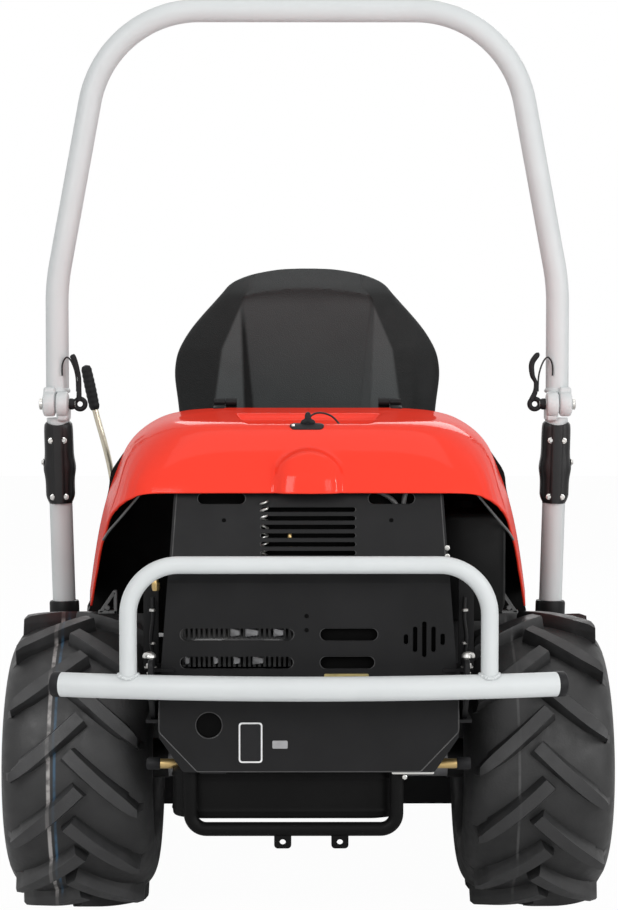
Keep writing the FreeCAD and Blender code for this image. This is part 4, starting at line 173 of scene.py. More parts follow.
def rounded(corners, radii, steps=6):
    """A closed outline in 2-D with each corner replaced by an arc tangent to both its sides."""
    corners = np.asarray(corners, float)
    radii = np.broadcast_to(np.asarray(radii, float), (len(corners),))
    before = np.roll(corners, 1, axis=0) - corners
    after = np.roll(corners, -1, axis=0) - corners
    before /= np.linalg.norm(before, axis=1)[:, None]
    after /= np.linalg.norm(after, axis=1)[:, None]
    half = np.arccos(np.clip((before * after).sum(1), -1, 1)) / 2
    reach = radii / np.tan(half)
    middle = before + after
    middle /= np.linalg.norm(middle, axis=1)[:, None]
    centre = corners + middle * (radii / np.sin(half))[:, None]
    start = corners + before * reach[:, None]
    end = corners + after * reach[:, None]
    first = np.arctan2(start[:, 1] - centre[:, 1], start[:, 0] - centre[:, 0])
    last = np.arctan2(end[:, 1] - centre[:, 1], end[:, 0] - centre[:, 0])
    turn = (last - first + np.pi) % (2 * np.pi) - np.pi
    t = np.linspace(0, 1, steps)
    angle = first[:, None] + turn[:, None] * t
    points = centre[:, None] + radii[:, None, None] * np.stack([np.cos(angle), np.sin(angle)], 2)
    return points.reshape(-1, 2)


def bent(corners, radii, steps=10):
    """An open 2-D run whose inner corners are replaced by arcs of the given radii."""
    points = rounded(corners, [0, *radii, 0], steps).reshape(len(corners), steps, 2)
    return np.vstack([points[0, :1], points[1:-1].reshape(-1, 2), points[-1, :1]])


def slab(outline, low, high, plane="XY", soft=0.0):
    """A plate: a 2-D outline raised from low to high across a plane, its edges eased by soft."""
    outline = np.asarray(outline, float)
    centre = outline.mean(0)
    span = np.abs(outline - centre).max(0)
    inset = centre + (outline - centre) * (1 - soft / np.maximum(span, 1e-6))
    levels = [(low, inset), (low + soft, outline), (high - soft, outline), (high, inset)]
    if not soft:
        levels = [(low, outline), (high, outline)]
    rows = []
    for level, shape in levels:
        third = np.full(len(shape), level)
        across, up = shape[:, 0], shape[:, 1]
        rows.append(np.stack({"XY": (across, up, third), "XZ": (across, third, up),
                              "YZ": (third, across, up)}[plane], axis=1))
    return np.stack(rows)


def frames_along(path):
    """Two unit vectors square to a path at each of its points, turned as little as possible."""
    tangent = np.gradient(path, axis=0)
    tangent /= np.linalg.norm(tangent, axis=1)[:, None]
    side = np.zeros_like(path)
    helper = np.array([0, 0, 1.0]) if abs(tangent[0, 2]) < 0.9 else np.array([0, 1.0, 0])
    side[0] = np.cross(tangent[0], helper)
    for k in range(1, len(path)):
        side[k] = side[k - 1] - tangent[k] * (side[k - 1] @ tangent[k])
    side /= np.linalg.norm(side, axis=1)[:, None]
    return side, np.cross(tangent, side)


def swept(path, radius, count=16):
    """A round tube: a circle of the given radius carried square along a path."""
    path = np.asarray(path, float)
    side, up = frames_along(path)
    circle = ring(1.0, count)
    radius = np.broadcast_to(np.asarray(radius, float), (len(path),))
    return path[:, None] + radius[:, None, None] * (circle[None, :, :1] * side[:, None]
                                                    + circle[None, :, 1:] * up[:, None])


def plate(left, right, low, high, radius, near, far, plane="XY", soft=0.0, steps=6):
    """A slab whose outline is a rectangle with each corner replaced by an arc."""
    corners = [(left, low), (right, low), (right, high), (left, high)]
    return slab(rounded(corners, radius, steps), near, far, plane, soft)


def both_hands(points):
    """A grid and its mirror image across the machine's middle."""
    return np.stack([points, points * (-1, 1, 1)])


def fasteners(shape, places, axis, radius, height, washer=0.0):
    """Bolt heads at several places: a low hexagon with an eased top, on an optional washer."""
    sign = -1 if axis.startswith("-") else 1
    rounds = [([(0, radius), (height * 0.8, radius), (height, radius * 0.8)], 6)]
    if washer:
        disc = [(0, washer), (height * 0.25, washer), (height * 0.3, washer * 0.9)]
        rounds.insert(0, (disc, 20))
    for profile, count in rounds:
        outward = [(sign * along, across) for along, across in profile]
        for place in places:
            shape.solid(turned(outward, axis[-1], place, count))
    return shape


def paired_fasteners(shape, places, radius, height, washer=0.0):
    """Bolt heads that face right at several places, and left at their mirror images."""
    fasteners(shape, places, "X", radius, height, washer)
    return fasteners(shape, [(-x, y, z) for x, y, z in places], "-X", radius, height, washer)


# ---------------------------------------------------------------- finishes

class Finish:
    """A procedural material built up from noise on object coordinates."""

    def __init__(self, name, colour, roughness=0.5, metallic=0.0, coat=0.0, specular=0.5):
        self.material = bpy.data.materials.new(name)
        self.material.use_nodes = True
        self.tree = self.material.node_tree
        self.shader = self.tree.nodes["Principled BSDF"]
        self.shader.inputs["Roughness"].default_value = roughness
        self.shader.inputs["Metallic"].default_value = metallic
        self.shader.inputs["Specular IOR Level"].default_value = specular
        self.shader.inputs["Coat Weight"].default_value = coat
        self.shader.inputs["Coat Roughness"].default_value = 0.1
        self.shader.inputs["Base Color"].default_value = (*colour, 1)
        self.coordinates = self.add("ShaderNodeTexCoord").outputs["Object"]
        self.base = colour
        self.paint = None
        self.height = None

    def add(self, kind, **settings):
        """A new node with some of its settings."""
        thing = self.tree.nodes.new(kind)
        for key, value in settings.items():
            setattr(thing, key, value)
        return thing

    def link(self, source, target):
        """Join one node's output to another's input."""
        self.tree.links.new(source, target)

    def noise(self, scale, detail=3.0, stretch=None):
        """Soft noise from 0 to 1, at a scale in features per metre."""
        source = self.coordinates
        if stretch:
            mapping = self.add("ShaderNodeMapping")
            mapping.inputs["Scale"].default_value = stretch
            self.link(source, mapping.inputs["Vector"])
            source = mapping.outputs[0]
        texture = self.add("ShaderNodeTexNoise")
        texture.inputs["Scale"].default_value = scale
        texture.inputs["Detail"].default_value = detail
        self.link(source, texture.inputs["Vector"])
        return texture.outputs["Fac"]

    def cells(self, scale):
        """Distance to the nearest of many scattered points, for leather grain."""
        texture = self.add("ShaderNodeTexVoronoi")
        texture.inputs["Scale"].default_value = scale
        self.link(self.coordinates, texture.inputs["Vector"])
        return texture.outputs["Distance"]

    def between(self, source, low, high, to_low=0.0, to_high=1.0):
        """A factor moved from one range to another and held inside it."""
        step = self.add("ShaderNodeMapRange", clamp=True)
        for slot, value in zip(("From Min", "From Max", "To Min", "To Max"),
                               (low, high, to_low, to_high)):
            step.inputs[slot].default_value = value
        self.link(source, step.inputs["Value"])
        return step.outputs[0]

    def along(self, axis):
        """One object coordinate in metres."""
        split = self.add("ShaderNodeSeparateXYZ")
        self.link(self.coordinates, split.inputs[0])
        return split.outputs["XYZ".index(axis)]

    def attribute(self, name):
        """A factor carried by the mesh's own points."""
        return self.add("ShaderNodeAttribute", attribute_name=name).outputs["Fac"]

    def band(self, source, low, high, soft):
        """1 between low and high, and 0 outside, with soft edges."""
        rise = self.between(source, low - soft, low + soft)
        fall = self.between(source, high - soft, high + soft, 1.0, 0.0)
        return self.product(rise, fall)

    def away(self, axle):
        """Distance in metres from an axle across the machine, given as its Y and Z."""
        offset = self.add("ShaderNodeVectorMath", operation="SUBTRACT")
        offset.inputs[1].default_value = (0, *axle)
        self.link(self.coordinates, offset.inputs[0])
        flat = self.add("ShaderNodeVectorMath", operation="MULTIPLY")
        flat.inputs[1].default_value = (0, 1, 1)
        self.link(offset.outputs[0], flat.inputs[0])
        size = self.add("ShaderNodeVectorMath", operation="LENGTH")
        self.link(flat.outputs[0], size.inputs[0])
        return size.outputs["Value"]

    def aside(self):
        """Distance in metres from the machine's middle plane."""
        size = self.add("ShaderNodeMath", operation="ABSOLUTE")
        self.link(self.along("X"), size.inputs[0])
        return size.outputs[0]

    def product(self, one, two):
        """Two factors multiplied."""
        both = self.add("ShaderNodeMath", operation="MULTIPLY")
        self.link(one, both.inputs[0])
        self.link(two, both.inputs[1])
        return both.outputs[0]

    def tint(self, factor, colour):
        """Blend the paint towards a colour by a factor."""
        mix = self.add("ShaderNodeMix", data_type="RGBA")
        self.link(factor, mix.inputs["Factor"])
        if self.paint is None:
            mix.inputs["A"].default_value = (*self.base, 1)
        else:
            self.link(self.paint, mix.inputs["A"])
        mix.inputs["B"].default_value = (*colour, 1)
        self.paint = mix.outputs["Result"]
        return self

    def rough(self, source, low, high):
        """Roughness between two values, following a factor."""
        self.link(self.between(source, 0.25, 0.75, low, high), self.shader.inputs["Roughness"])
        return self

    def bump(self, source, distance, strength=1.0):
        """Add a height in metres to the surface's relief."""
        step = self.add("ShaderNodeBump")
        step.inputs["Distance"].default_value = distance
        step.inputs["Strength"].default_value = strength
        self.link(source, step.inputs["Height"])
        if self.height is not None:
            self.link(self.height, step.inputs["Normal"])
        self.height = step.outputs[0]
        return self

    def done(self):
        """The material, with its paint and its relief joined to the shader."""
        if self.paint is not None:
            self.link(self.paint, self.shader.inputs["Base Color"])
        if self.height is not None:
            self.link(self.height, self.shader.inputs["Normal"])
        return self.material


def red_enamel():
    """Glossy red enamel over slightly uneven sheet."""
    look = Finish("red_enamel", (0.93, 0.05, 0.026), 0.34, coat=0.3, specular=0.0)
    look.tint(look.between(look.noise(2.5), 0.35, 0.7, 0.0, 0.3), (0.88, 0.042, 0.022))
    look.bump(look.noise(420, 2), 0.00003)
    return look.rough(look.noise(30), 0.3, 0.36).done()


def grey_powder(name="grey_powder", shade_inside=0.0):
    """Pale powder coat; on the rear wheels, painted shade darkens the hubs' inner ends."""
    look = Finish(name, (0.655, 0.68, 0.684), 0.42, specular=0.35)
    look.tint(look.between(look.noise(9), 0.4, 0.7, 0.0, 0.5), (0.615, 0.64, 0.645))
    if shade_inside:
        # painted shade: near-black on the hub's inner side, nearer the middle than the given
        # distance
        look.tint(look.between(look.aside(), shade_inside, shade_inside + 0.003, 1.0, 0.0),
                  (0.008, 0.008, 0.008))
    look.bump(look.noise(900, 2), 0.00005)
    return look.rough(look.noise(40), 0.38, 0.48).done()


def black_powder(name="black_powder", colour=(0.01, 0.01, 0.0105), specular=0.15,
                 roughness=0.4):
    """Satin black powder coat in two close tones."""
    look = Finish(name, colour, roughness, specular=specular)
    look.tint(look.between(look.noise(12), 0.4, 0.7, 0.0, 0.6),
              tuple(1.4 * share for share in colour))
    look.bump(look.noise(1100, 2), 0.00008)
    return look.rough(look.noise(35), roughness, roughness + 0.14).done()


def black_plastic(name="black_plastic", colour=(0.01, 0.01, 0.011), specular=0.2):
    """Moulded black plastic with a fine grain."""
    look = Finish(name, colour, 0.55, specular=specular)
    look.tint(look.between(look.noise(20), 0.4, 0.7, 0.0, 0.5),
              tuple(1.4 * share for share in colour))
    look.bump(look.cells(1400), 0.00008)
    return look.rough(look.noise(60), 0.48, 0.62).done()


def casting(name, colour, other, metallic=0.2, specular=0.25):
    """Bare cast metal: two close colours in soft patches on a grainy skin."""
    look = Finish(name, colour, 0.6, metallic, specular)
    look.tint(look.between(look.noise(30, 5), 0.45, 0.7, 0.0, 0.8), other)
    look.bump(look.noise(500, 3), 0.0002)
    return look.rough(look.noise(70), 0.5, 0.66).done()


def plated(name, colour, other):
    """Bright plated steel: two close colours in soft patches, finely scratched."""
    look = Finish(name, colour, 0.32, 0.9)
    look.tint(look.between(look.noise(50, 4), 0.4, 0.7, 0.0, 0.7), other)
    look.bump(look.noise(700, 2, (1, 1, 0.1)), 0.00005)
    return look.rough(look.noise(80), 0.25, 0.42).done()


def tyre_rubber(name, axle, tops, stripes=(), light=1.0):
    """Dull rubber, lighter on the lug tops, furthest from the axle: partly wear, partly painted
    highlight.

    Each stripe is a colour between two places across the machine; it fades on the tops.
    """
    # light scales the rubber's colours; below 1 it paints shade on a tyre
    look = Finish(name, (0.015 * light, 0.015 * light, 0.0155 * light), 0.6, specular=0.5)
    look.tint(look.between(look.noise(18, 4), 0.4, 0.75, 0.0, 0.6), (0.024, 0.024, 0.024))
    away = look.away(axle)
    # the lug tops are lightened partly for wear, partly as a painted highlight
    worn_and_lit = look.product(look.between(away, tops - 0.004, tops),
                        look.between(look.noise(30, 4), 0.3, 0.6, 0.5, 1.0))
    look.tint(worn_and_lit, tuple(light * share for share in (0.034, 0.034, 0.035)))
    on_floor = look.between(away, tops - 0.004, tops + 0.004, 1.0, 0.2)
    for low, high, colour, amount in stripes:
        line = look.band(look.along("X"), low, high, 0.0008)
        broken = look.between(look.noise(45, 4), 0.36, 0.52, 0.25, amount)
        look.tint(look.product(look.product(line, broken), on_floor), colour)
    look.bump(look.noise(260, 3), 0.0003)
    return look.rough(look.noise(50), 0.42, 0.62).done()


def seat_vinyl(name="seat_vinyl", colour=(0.02, 0.02, 0.021), shaded_panels=False):
    """Grained seat cover; the seat back's attribute of painted light and shade makes its ribs and
    panel paler.
    """
    look = Finish(name, colour, 0.5, specular=0.15)
    if shaded_panels:
        look.tint(look.attribute("painted_shading"), (0.106, 0.114, 0.115))
    look.tint(look.between(look.noise(12), 0.4, 0.7, 0.0, 0.2), (0.03, 0.03, 0.031))
    look.bump(look.cells(520), 0.0005)
    look.bump(look.noise(900, 2), 0.0001)
    return look.rough(look.noise(60), 0.44, 0.58).done()


def cord_black():
    """The smooth black coat of the cords."""
    look = Finish("cord_black", (0.012, 0.012, 0.013), 0.4, specular=0.3)
    look.tint(look.between(look.noise(60), 0.4, 0.7, 0.0, 0.5), (0.02, 0.02, 0.02))
    return look.rough(look.noise(90), 0.35, 0.5).done()


def label_white():
    """White plate, a little uneven."""
    look = Finish("label_white", (0.8, 0.8, 0.8), 0.5)
    look.tint(look.between(look.noise(40), 0.4, 0.7, 0.0, 0.5), (0.72, 0.72, 0.73))
    return look.rough(look.noise(90), 0.42, 0.55).done()


LOOKS = {"red_paint": red_enamel(), "grey_paint": grey_powder(),
         "rear_rim_painted_shade": grey_powder("rear_rim_painted_shade", 0.29), "black_paint": black_powder(),
         "deep_black": black_powder("deep_black", (0.0045, 0.0045, 0.0045), 0.08),
         # a near-black copy of the plastic with almost no sheen, for painted shade in the hole and
         # behind the slots; the panel plugs share it
         "black_plastic": black_plastic(), "painted_shade_black": black_plastic("painted_shade_black",
                                                                         (0.003, 0.003, 0.003),
                                                                         0.03),
         "engine_metal": casting("dark_casting", (0.03, 0.03, 0.031), (0.05, 0.049, 0.047)),
         "dull_steel": casting("dull_steel", (0.1, 0.1, 0.1), (0.07, 0.07, 0.07), 0.3),
         "gloss_black": black_powder("gloss_black", (0.01, 0.01, 0.0105), 0.3, 0.3),
         "cast_metal": casting("cast_metal", (0.36, 0.36, 0.37), (0.26, 0.26, 0.26), 0.75, 0.5),
         "zinc_steel": plated("zinc_plate", (0.62, 0.61, 0.58), (0.5, 0.5, 0.5)),
         "warm_zinc": plated("warm_zinc", (0.78, 0.72, 0.58), (0.66, 0.6, 0.48)),
         "brass": plated("yellow_plate", (0.66, 0.47, 0.2), (0.52, 0.38, 0.18)),
         "yellow_strip": plated("yellow_strip", (0.72, 0.6, 0.28), (0.66, 0.52, 0.22)),
         # the right rear tyre's rubber is a darker copy of the left's, at 0.6 of its colours:
         # painted shade
         "label_white": label_white(), "tyre_rubber": tyre_rubber("rear_tyre_rubber", REAR_AXLE,
                                                                  0.24, [(0.3435, 0.3475,
                                                                          (0.13, 0.13, 0.13),
                                                                          0.4)], 0.6),
         "left_tyre_rubber": tyre_rubber("left_tyre_rubber", REAR_AXLE, 0.24,
                                         [(-0.4285, -0.4225, (0.42, 0.4, 0.39), 0.95),
                                          (-0.4175, -0.4133, (0.04, 0.11, 0.19), 0.7)]),
         "front_tyre_rubber": tyre_rubber("front_tyre_rubber", FRONT_AXLE, 0.192),
         # the seat back's vinyl is a darker copy on which painted light and shade bring up the
         # ribs and panel
         "seat_vinyl": seat_vinyl(), "seat_back_vinyl_painted_shading": seat_vinyl("seat_back_vinyl_painted_shading",
                                                                   (0.005, 0.005, 0.005),
                                                                   shaded_panels=True),
         "strap_cord": cord_black(),}
SLOT_OF = {row["node"]: row["material_slot"] for row in frame["record"]["subparts"]}


def dress_nodes():
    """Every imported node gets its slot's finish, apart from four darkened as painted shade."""
    # painted shade: the engine block near-black, the rear rims' inner ends near-black, the guard
    # tube deep black
    own = {"engine_block": "painted_shade_black", "rear_rim_right": "rear_rim_painted_shade",
           "rear_rim_left": "rear_rim_painted_shade", "under_guard_tube": "deep_black"}
    for name, thing in NODES.items():
        thing.data.materials.clear()
        thing.data.materials.append(LOOKS[own.get(name, SLOT_OF[name])])


# ---------------------------------------------------------------- cords

# the cords' routes: up from the ring and back down inside it, and off the latch in a low bow
LANYARD_START = (0.4255, -0.2845, 0.862)
LANYARD_STEPS = [(0, 0, 23), (0, 0, 44), (3, 1, 62), (10, 2, 80), (18, 3, 88), (25, 4, 80),
                 (28, 4, 66), (27, 4, 52)]
LATCH_START = (0.001, -0.8025, 0.84)
LATCH_STEPS = [(0, -4, 14), (6, 0, 20), (18, 0, 22), (32, 0, 19), (43, -1, 11), (50, -3, 1)]
CORD_RADIUS = 0.0016


def route(start, steps, side=1):
    """Steps in millimetres from a start in metres, on the machine's right (1) or left (-1)."""
    points = np.array(start) + np.array(steps, float) / 1000
    return points * (side, 1, 1)


def make_cord(name, node, body, points):
    """A round cord on one smooth curve that has the route's points as its control points."""
    data = bpy.data.curves.new(name, "CURVE")
    data.dimensions = "3D"
    data.bevel_depth = CORD_RADIUS
    data.bevel_resolution = 4
    data.resolution_u = 12
    data.use_fill_caps = True
    line = data.splines.new("NURBS")
    line.points.add(len(points) - 1)
    line.points.foreach_set("co", np.column_stack([points, np.ones(len(points))]).ravel())
    line.order_u = 3
    line.use_endpoint_u = True
    data.materials.append(LOOKS["strap_cord"])
    cord = bpy.data.objects.new(name, data)
    bpy.context.scene.collection.objects.link(cord)
    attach(cord, body)
    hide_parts(node)


def make_cords():
    """The lanyards of both fold pins and the cord of the hood's latch."""
    for side, name in ((1, "right"), (-1, "left")):
        make_cord("lanyard_" + name, "pin_lanyard_" + name, "rops_hoop",
                  route(LANYARD_START, LANYARD_STEPS, side))
    make_cord("hood_latch_cord", "latch_cord", "hood", route(LATCH_START, LATCH_STEPS))


# ---------------------------------------------------------------- tyres and wheels

def smooth_line(points, steps=8):
    """A curve through all the points: a Catmull-Rom cubic between each pair of neighbours."""
    p = np.asarray(points, float)
    p = np.vstack([2 * p[0] - p[1], p, 2 * p[-1] - p[-2]])
    t = np.linspace(0, 1, steps, endpoint=False)[None, :, None]
    a, b, c, d = (p[k:len(p) - 3 + k, None] for k in range(4))
    line = 0.5 * (2 * b + (c - a) * t + (2 * a - 5 * b + 4 * c - d) * t ** 2
                  + (3 * b - a - 3 * c + d) * t ** 3)
    return np.vstack([line.reshape(-1, p.shape[1]), p[-2]])


class Tyre:
    """The measures of one kind of tyre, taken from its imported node."""

    def __init__(self, node, lug, rows):
        low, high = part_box(node)
        self.node = node
        self.centre = (np.array(low) + np.array(high)) / 2
        self.half = (high[0] - low[0]) / 2
        self.radius = (high[2] - low[2]) / 2
        self.lug = lug
        self.rows = rows
        self.side = math.copysign(1, self.centre[0])

    def wall(self):
        """Half of the carcass's section as (across, radius), from the crown to the bead."""
        crown = self.radius - self.lug
        seat = 0.1015
        tall = crown - seat
        shape = [(0.0, 1.0), (0.33, 0.994), (0.6, 0.972), (0.78, 0.915), (0.9, 0.82),
                 (0.972, 0.68), (1.0, 0.5), (0.972, 0.33), (0.89, 0.2), (0.76, 0.115), (0.7, 0.09)]
        return smooth_line([(self.half * a, seat + tall * b) for a, b in shape], 5)

    def carcass(self):
        """The closed ring under the lugs: wall, bead and the seat on the rim, turned about X."""
        wall = self.wall()
        bead = [(self.half * 0.69, 0.112), (self.half * 0.672, 0.1035)]
        half = np.vstack([wall, bead])
        half[0, 1] += 0.001
        section = np.vstack([half, half[:0:-1] * (-1, 1)])
        return turned(section, "X", self.centre, 144)

    def lugs(self, hand, phase):
        """One row of lugs, each a bar with sloped sides that runs out and back from the crown.

        Along the bar the angle about the axle falls as the way across grows, so that the bar
        stands at 45 degrees on the tread; its top follows the crown and dips at the shoulder.
        """
        along = np.linspace(0, 1, 15)
        tread = self.half * 0.835
        inner = -0.01 * self.half / 0.1265
        across = inner + (tread - inner) * along
        top = self.radius - 0.004 * (across / tread) ** 2
        top[-1] -= 0.004
        run = (across - inner) * (1 - 0.1 * along)
        width = self.lug * np.array([-0.78, -0.56, -0.46, 0.46, 0.56, 0.78])
        level = np.array([0, 0.86, 1.0, 1.0, 0.86, 0])
        wall = self.wall()
        base = np.interp(across, wall[:, 0], wall[:, 1]) - 0.004
        radius = base[:, None] + (top - base)[:, None] * level
        x = across[:, None] + width * 0.707 * (1 - along[:, None] ** 8)
        x = np.minimum(x, tread + 0.001)
        turn = -(run[:, None] - width * 0.707) / self.radius
        # the outer end steps down the shoulder as a short buttress
        steps = self.radius - np.array([0.035, 0.055])
        outer = np.interp(steps, wall[::-1, 1], wall[::-1, 0])
        x = np.vstack([x, outer[:, None] - 0.004 + level * np.array([[0.009], [0.0045]])])
        turn = np.vstack([turn, np.repeat(turn[-1:], 2, axis=0) * 1.02])
        radius = np.vstack([radius, np.repeat(steps[:, None], len(level), axis=1)])
        angles = phase + np.arange(self.rows) * 2 * np.pi / self.rows
        theta = angles[:, None, None] + turn
        shape = np.stack([np.broadcast_to(hand * x, theta.shape), -radius * np.cos(theta),
                          radius * np.sin(theta)], axis=3)
        return shape + self.centre


def make_tyre(name, node, body, lug, rows, phase):
    """A tyre with two staggered rows of lugs that meet in a point at the crown."""
    tyre = Tyre(node, lug, rows)
    shape = Shape().loop(tyre.carcass())
    half_pitch = math.pi / rows
    for hand in (tyre.side, -tyre.side):
        shift = phase if hand == tyre.side else phase + half_pitch
        shape.solid(tyre.lugs(hand, shift))
    look = {"rear_tyre_left": "left_tyre_rubber", "rear_tyre_right": "tyre_rubber"}.get(
        node, "front_tyre_rubber")
    return shape.piece(name, body, "tyre_rubber", look, smooth=32, replaces=[node])


def make_tyres():
    """All four tyres; each side's lugs stand at their own angle."""
    for side, phase in (("left", -29.4), ("right", -13.0)):
        make_tyre("rear_lugged_tyre_" + side, "rear_tyre_" + side, "rear_wheel_" + side, 0.022, 13,
                  math.radians(phase))
        make_tyre("front_lugged_tyre_" + side, "front_tyre_" + side, "front_wheel_" + side, 0.017,
                  13, math.radians(phase))


# ---------------------------------------------------------------- seat

SEAT_OUTLINE = [  # half width and height of the seat back's edge, from its foot to its top
    (0.196, 0.612), (0.224, 0.66), (0.24, 0.75), (0.249, 0.85), (0.2555, 0.905),
    (0.2545, 0.934), (0.2488, 0.958), (0.2373, 0.981), (0.2218, 1.004), (0.2025, 1.027),
    (0.1813, 1.05), (0.163, 1.07), (0.149, 1.0855), (0.13, 1.0965), (0.098, 1.107),
    (0.055, 1.1145), (0.018, 1.1165)]

SEAT_LEAN = math.tan(math.radians(8))
# rear face of the seat back at its foot: its lean carries the top back to the node's edge
SEAT_REAR_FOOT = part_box("seat_back")[0][1] + 0.517 * SEAT_LEAN - 0.003


def ease(value, low, high):
    """A smooth step: 0 below low, 1 above high, with level ends."""
    t = np.clip((value - low) / (high - low), 0, 1)
    return t * t * (3 - 2 * t)


def seat_lines(z):
    """Half widths of the seat back's ribs and middle panel at a height, and its wall's slope."""
    rib = np.interp(z, [0.61, 0.85, 0.963, 1.0675, 1.08], [0.186, 0.18, 0.164, 0.118, 0.104])
    panel = np.interp(z, [0.61, 0.853, 1.045, 1.08], [0.096, 0.103, 0.121, 0.116])
    return rib, panel, np.interp(z, [0.61, 0.85, 1.05], [0.03, 0.018, 0.005])


def seat_shell():
    """The seat back as two sheets, rear and front, that share one outline.

    Each row spans the outline at one height. The rear sheet has a sunk middle panel between
    two ribs that spread downwards, wings that fall away forwards, and a brow that slopes
    forwards; the front sheet has a hollow middle between bolsters.
    """
    edge = smooth_line(SEAT_OUTLINE, 7)
    spacing = np.concatenate([[0], np.cumsum(np.hypot(*np.diff(edge, axis=0).T))])
    even = np.linspace(0, spacing[-1], 130)
    half = np.interp(even, spacing, edge[:, 0])[:, None]
    z_edge = np.interp(even, spacing, edge[:, 1])[:, None]
    u = np.linspace(-1, 1, 201)[None, :]
    u = np.sign(u) * (1 - (1 - abs(u)) ** 1.25)
    x = half * u
    z = z_edge + 0 * u
    far = abs(x)
    rib, panel, slope = seat_lines(z)
    brow = 1.079 - 0.0134 * (x / 0.118) ** 2
    sunk = np.clip((panel + slope - far) / slope, 0, 1) * ease(brow - z, -0.002, 0.01)
    depth = np.interp(z, [0.61, 0.85, 1.05, 1.07], [0.024, 0.017, 0.006, 0.003])
    wing = np.maximum(far - rib, 0)
    outside = ease(far - rib, -0.004, 0.006)
    falls = 0.004 * np.maximum(far - panel, 0) / 0.06 + wing * 0.36 * outside
    falls = falls + np.maximum(z - brow, 0) * 0.55 * (1 - 0.5 * outside)
    rear = 0.0015 + depth * sunk + falls
    front = 0.046 + 0.016 * ease(far, 0.1, 0.19) - 0.012 * ease(z, 1.0, 1.11)
    front = front - 0.006 * np.exp(-((z - 0.8) / 0.09) ** 2) * (1 - ease(far, 0.09, 0.16))
    rim = np.sqrt(np.clip(1 - abs(u) ** 14, 0,
                          1)) * np.sqrt(np.clip(1 - ((z - 0.86) / 0.2578) ** 30, 0, 1))
    middle = 0.5 * (rear + front)
    rear = middle + (rear - middle) * rim
    front = middle + (front - middle) * rim
    plane = SEAT_REAR_FOOT - (z - 0.6) * SEAT_LEAN
    return (np.stack([x, plane + rear, z], 2), np.stack([x, plane + front, z], 2))


def make_seat_back():
    """The padded back, painted with light and shade: paler ribs, panel and brow, a dark left wall,
    a lit right wall.
    """
    rear, front = seat_shell()
    shape = Shape().grid(rear).grid(front[:, ::-1])
    for row in (-1, 0):
        shape.grid(np.stack([rear[row], front[row]]))
    thing = shape.piece("seat_back_pad", "chassis", "seat_vinyl", "seat_back_vinyl_painted_shading", smooth=38,
                        replaces=["seat_back"])
    places = np.empty(len(thing.data.vertices) * 3)
    thing.data.vertices.foreach_get("co", places)
    x, _, z = places.reshape(-1, 3).T
    rib, panel, slope = seat_lines(z)
    far = abs(x)
    # painted light and shade: the panel, the ribs and the brow paler, the wings darker
    low = 1 - ease(z, 1.05, 1.085)
    painted_shading = 0.1 + 0.42 * (1 - ease(far, rib - 0.004, rib + 0.002)) * low
    painted_shading = painted_shading + 0.22 * ease(far, panel + slope,
                              panel + slope + 0.003) * (1 - ease(far, rib - 0.004, rib)) * low
    wall = ease(far, panel - 0.003, panel + 0.003) * (1 - ease(
        far, panel + slope - 0.003, panel + slope + 0.003)) * (1 - ease(z, 0.99, 1.06))
    # painted shade on the panel's left wall and a painted highlight on its right wall
    painted_shading = painted_shading + wall * (np.where(x < 0, 0.0, 0.8) - painted_shading)
    painted_shading = painted_shading + 0.32 * ease(z, 1.06, 1.09) * np.clip(1 - (far / 0.2) ** 4, 0, 1)
    thing.data.attributes.new("painted_shading", "FLOAT", "POINT").data.foreach_set("value", painted_shading)


def make_seat_cushion():
    """The cushion: a crowned pad with bolsters, a rolled front edge and a sunk middle.

    Rows run front to back; each row's height is the pad's thickness times a rounded edge,
    plus a ridge near each side.
    """
    low, high = (np.array(c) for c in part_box("seat_cushion"))
    u = np.linspace(-1, 1, 91)[None, :]
    v = np.linspace(0, 1, 81)[:, None]
    half = (high[0] - low[0]) / 2
    length = high[1] - low[1]
    pull = 1 - 0.05 * np.sin(np.pi * v) - 0.16 * ease(v, 0.82, 1.0) ** 2 - 0.05 * (1 - v) ** 6
    x = half * pull * np.sign(u) * (1 - (1 - abs(u)) ** 1.3)
    y = low[1] + length * (0.5 - 0.5 * np.cos(np.pi * (0.03 + 0.94 * v))) + 0 * u
    y = y - 0.03 * abs(u) ** 6 * ease(v, 0.6, 1)
    edge = np.sqrt(np.clip(1 - abs(u) ** 9, 0, 1)) * np.sqrt(np.clip(1 - abs(2 * v - 1) ** 12, 0,
                                                                     1))
    bolster = ease(abs(u), 0.5, 0.74)
    rise = 0.07 + 0.02 * bolster - 0.01 * ease(v, 0.75, 1.0) * (1 - bolster)
    seam = np.exp(-((abs(u) - 0.56) / 0.016) ** 2) + np.exp(-((v - 0.62) / 0.012) ** 2) * (
        1 - ease(abs(u), 0.52, 0.57))
    top = low[2] + 0.012 + (rise - 0.004 * seam) * edge - 0.012 * (1 - edge)
    bottom = low[2] + 0.012 * (1 - edge) + 0 * x
    upper = np.stack([x, y, np.maximum(top, bottom)], 2)
    under = np.stack([x, y, bottom], 2)
    shape = Shape().grid(upper).grid(under[:, ::-1])
    for a, b in ((upper[0], under[0]), (upper[-1], under[-1]), (upper[:, 0], under[:, 0]),
                 (upper[:, -1], under[:, -1])):
        shape.grid(np.stack([a, b]))
    thing = shape.piece("seat_cushion_pad", "chassis", "seat_vinyl", smooth=45,
                        replaces=["seat_cushion"])


# ---------------------------------------------------------------- hood

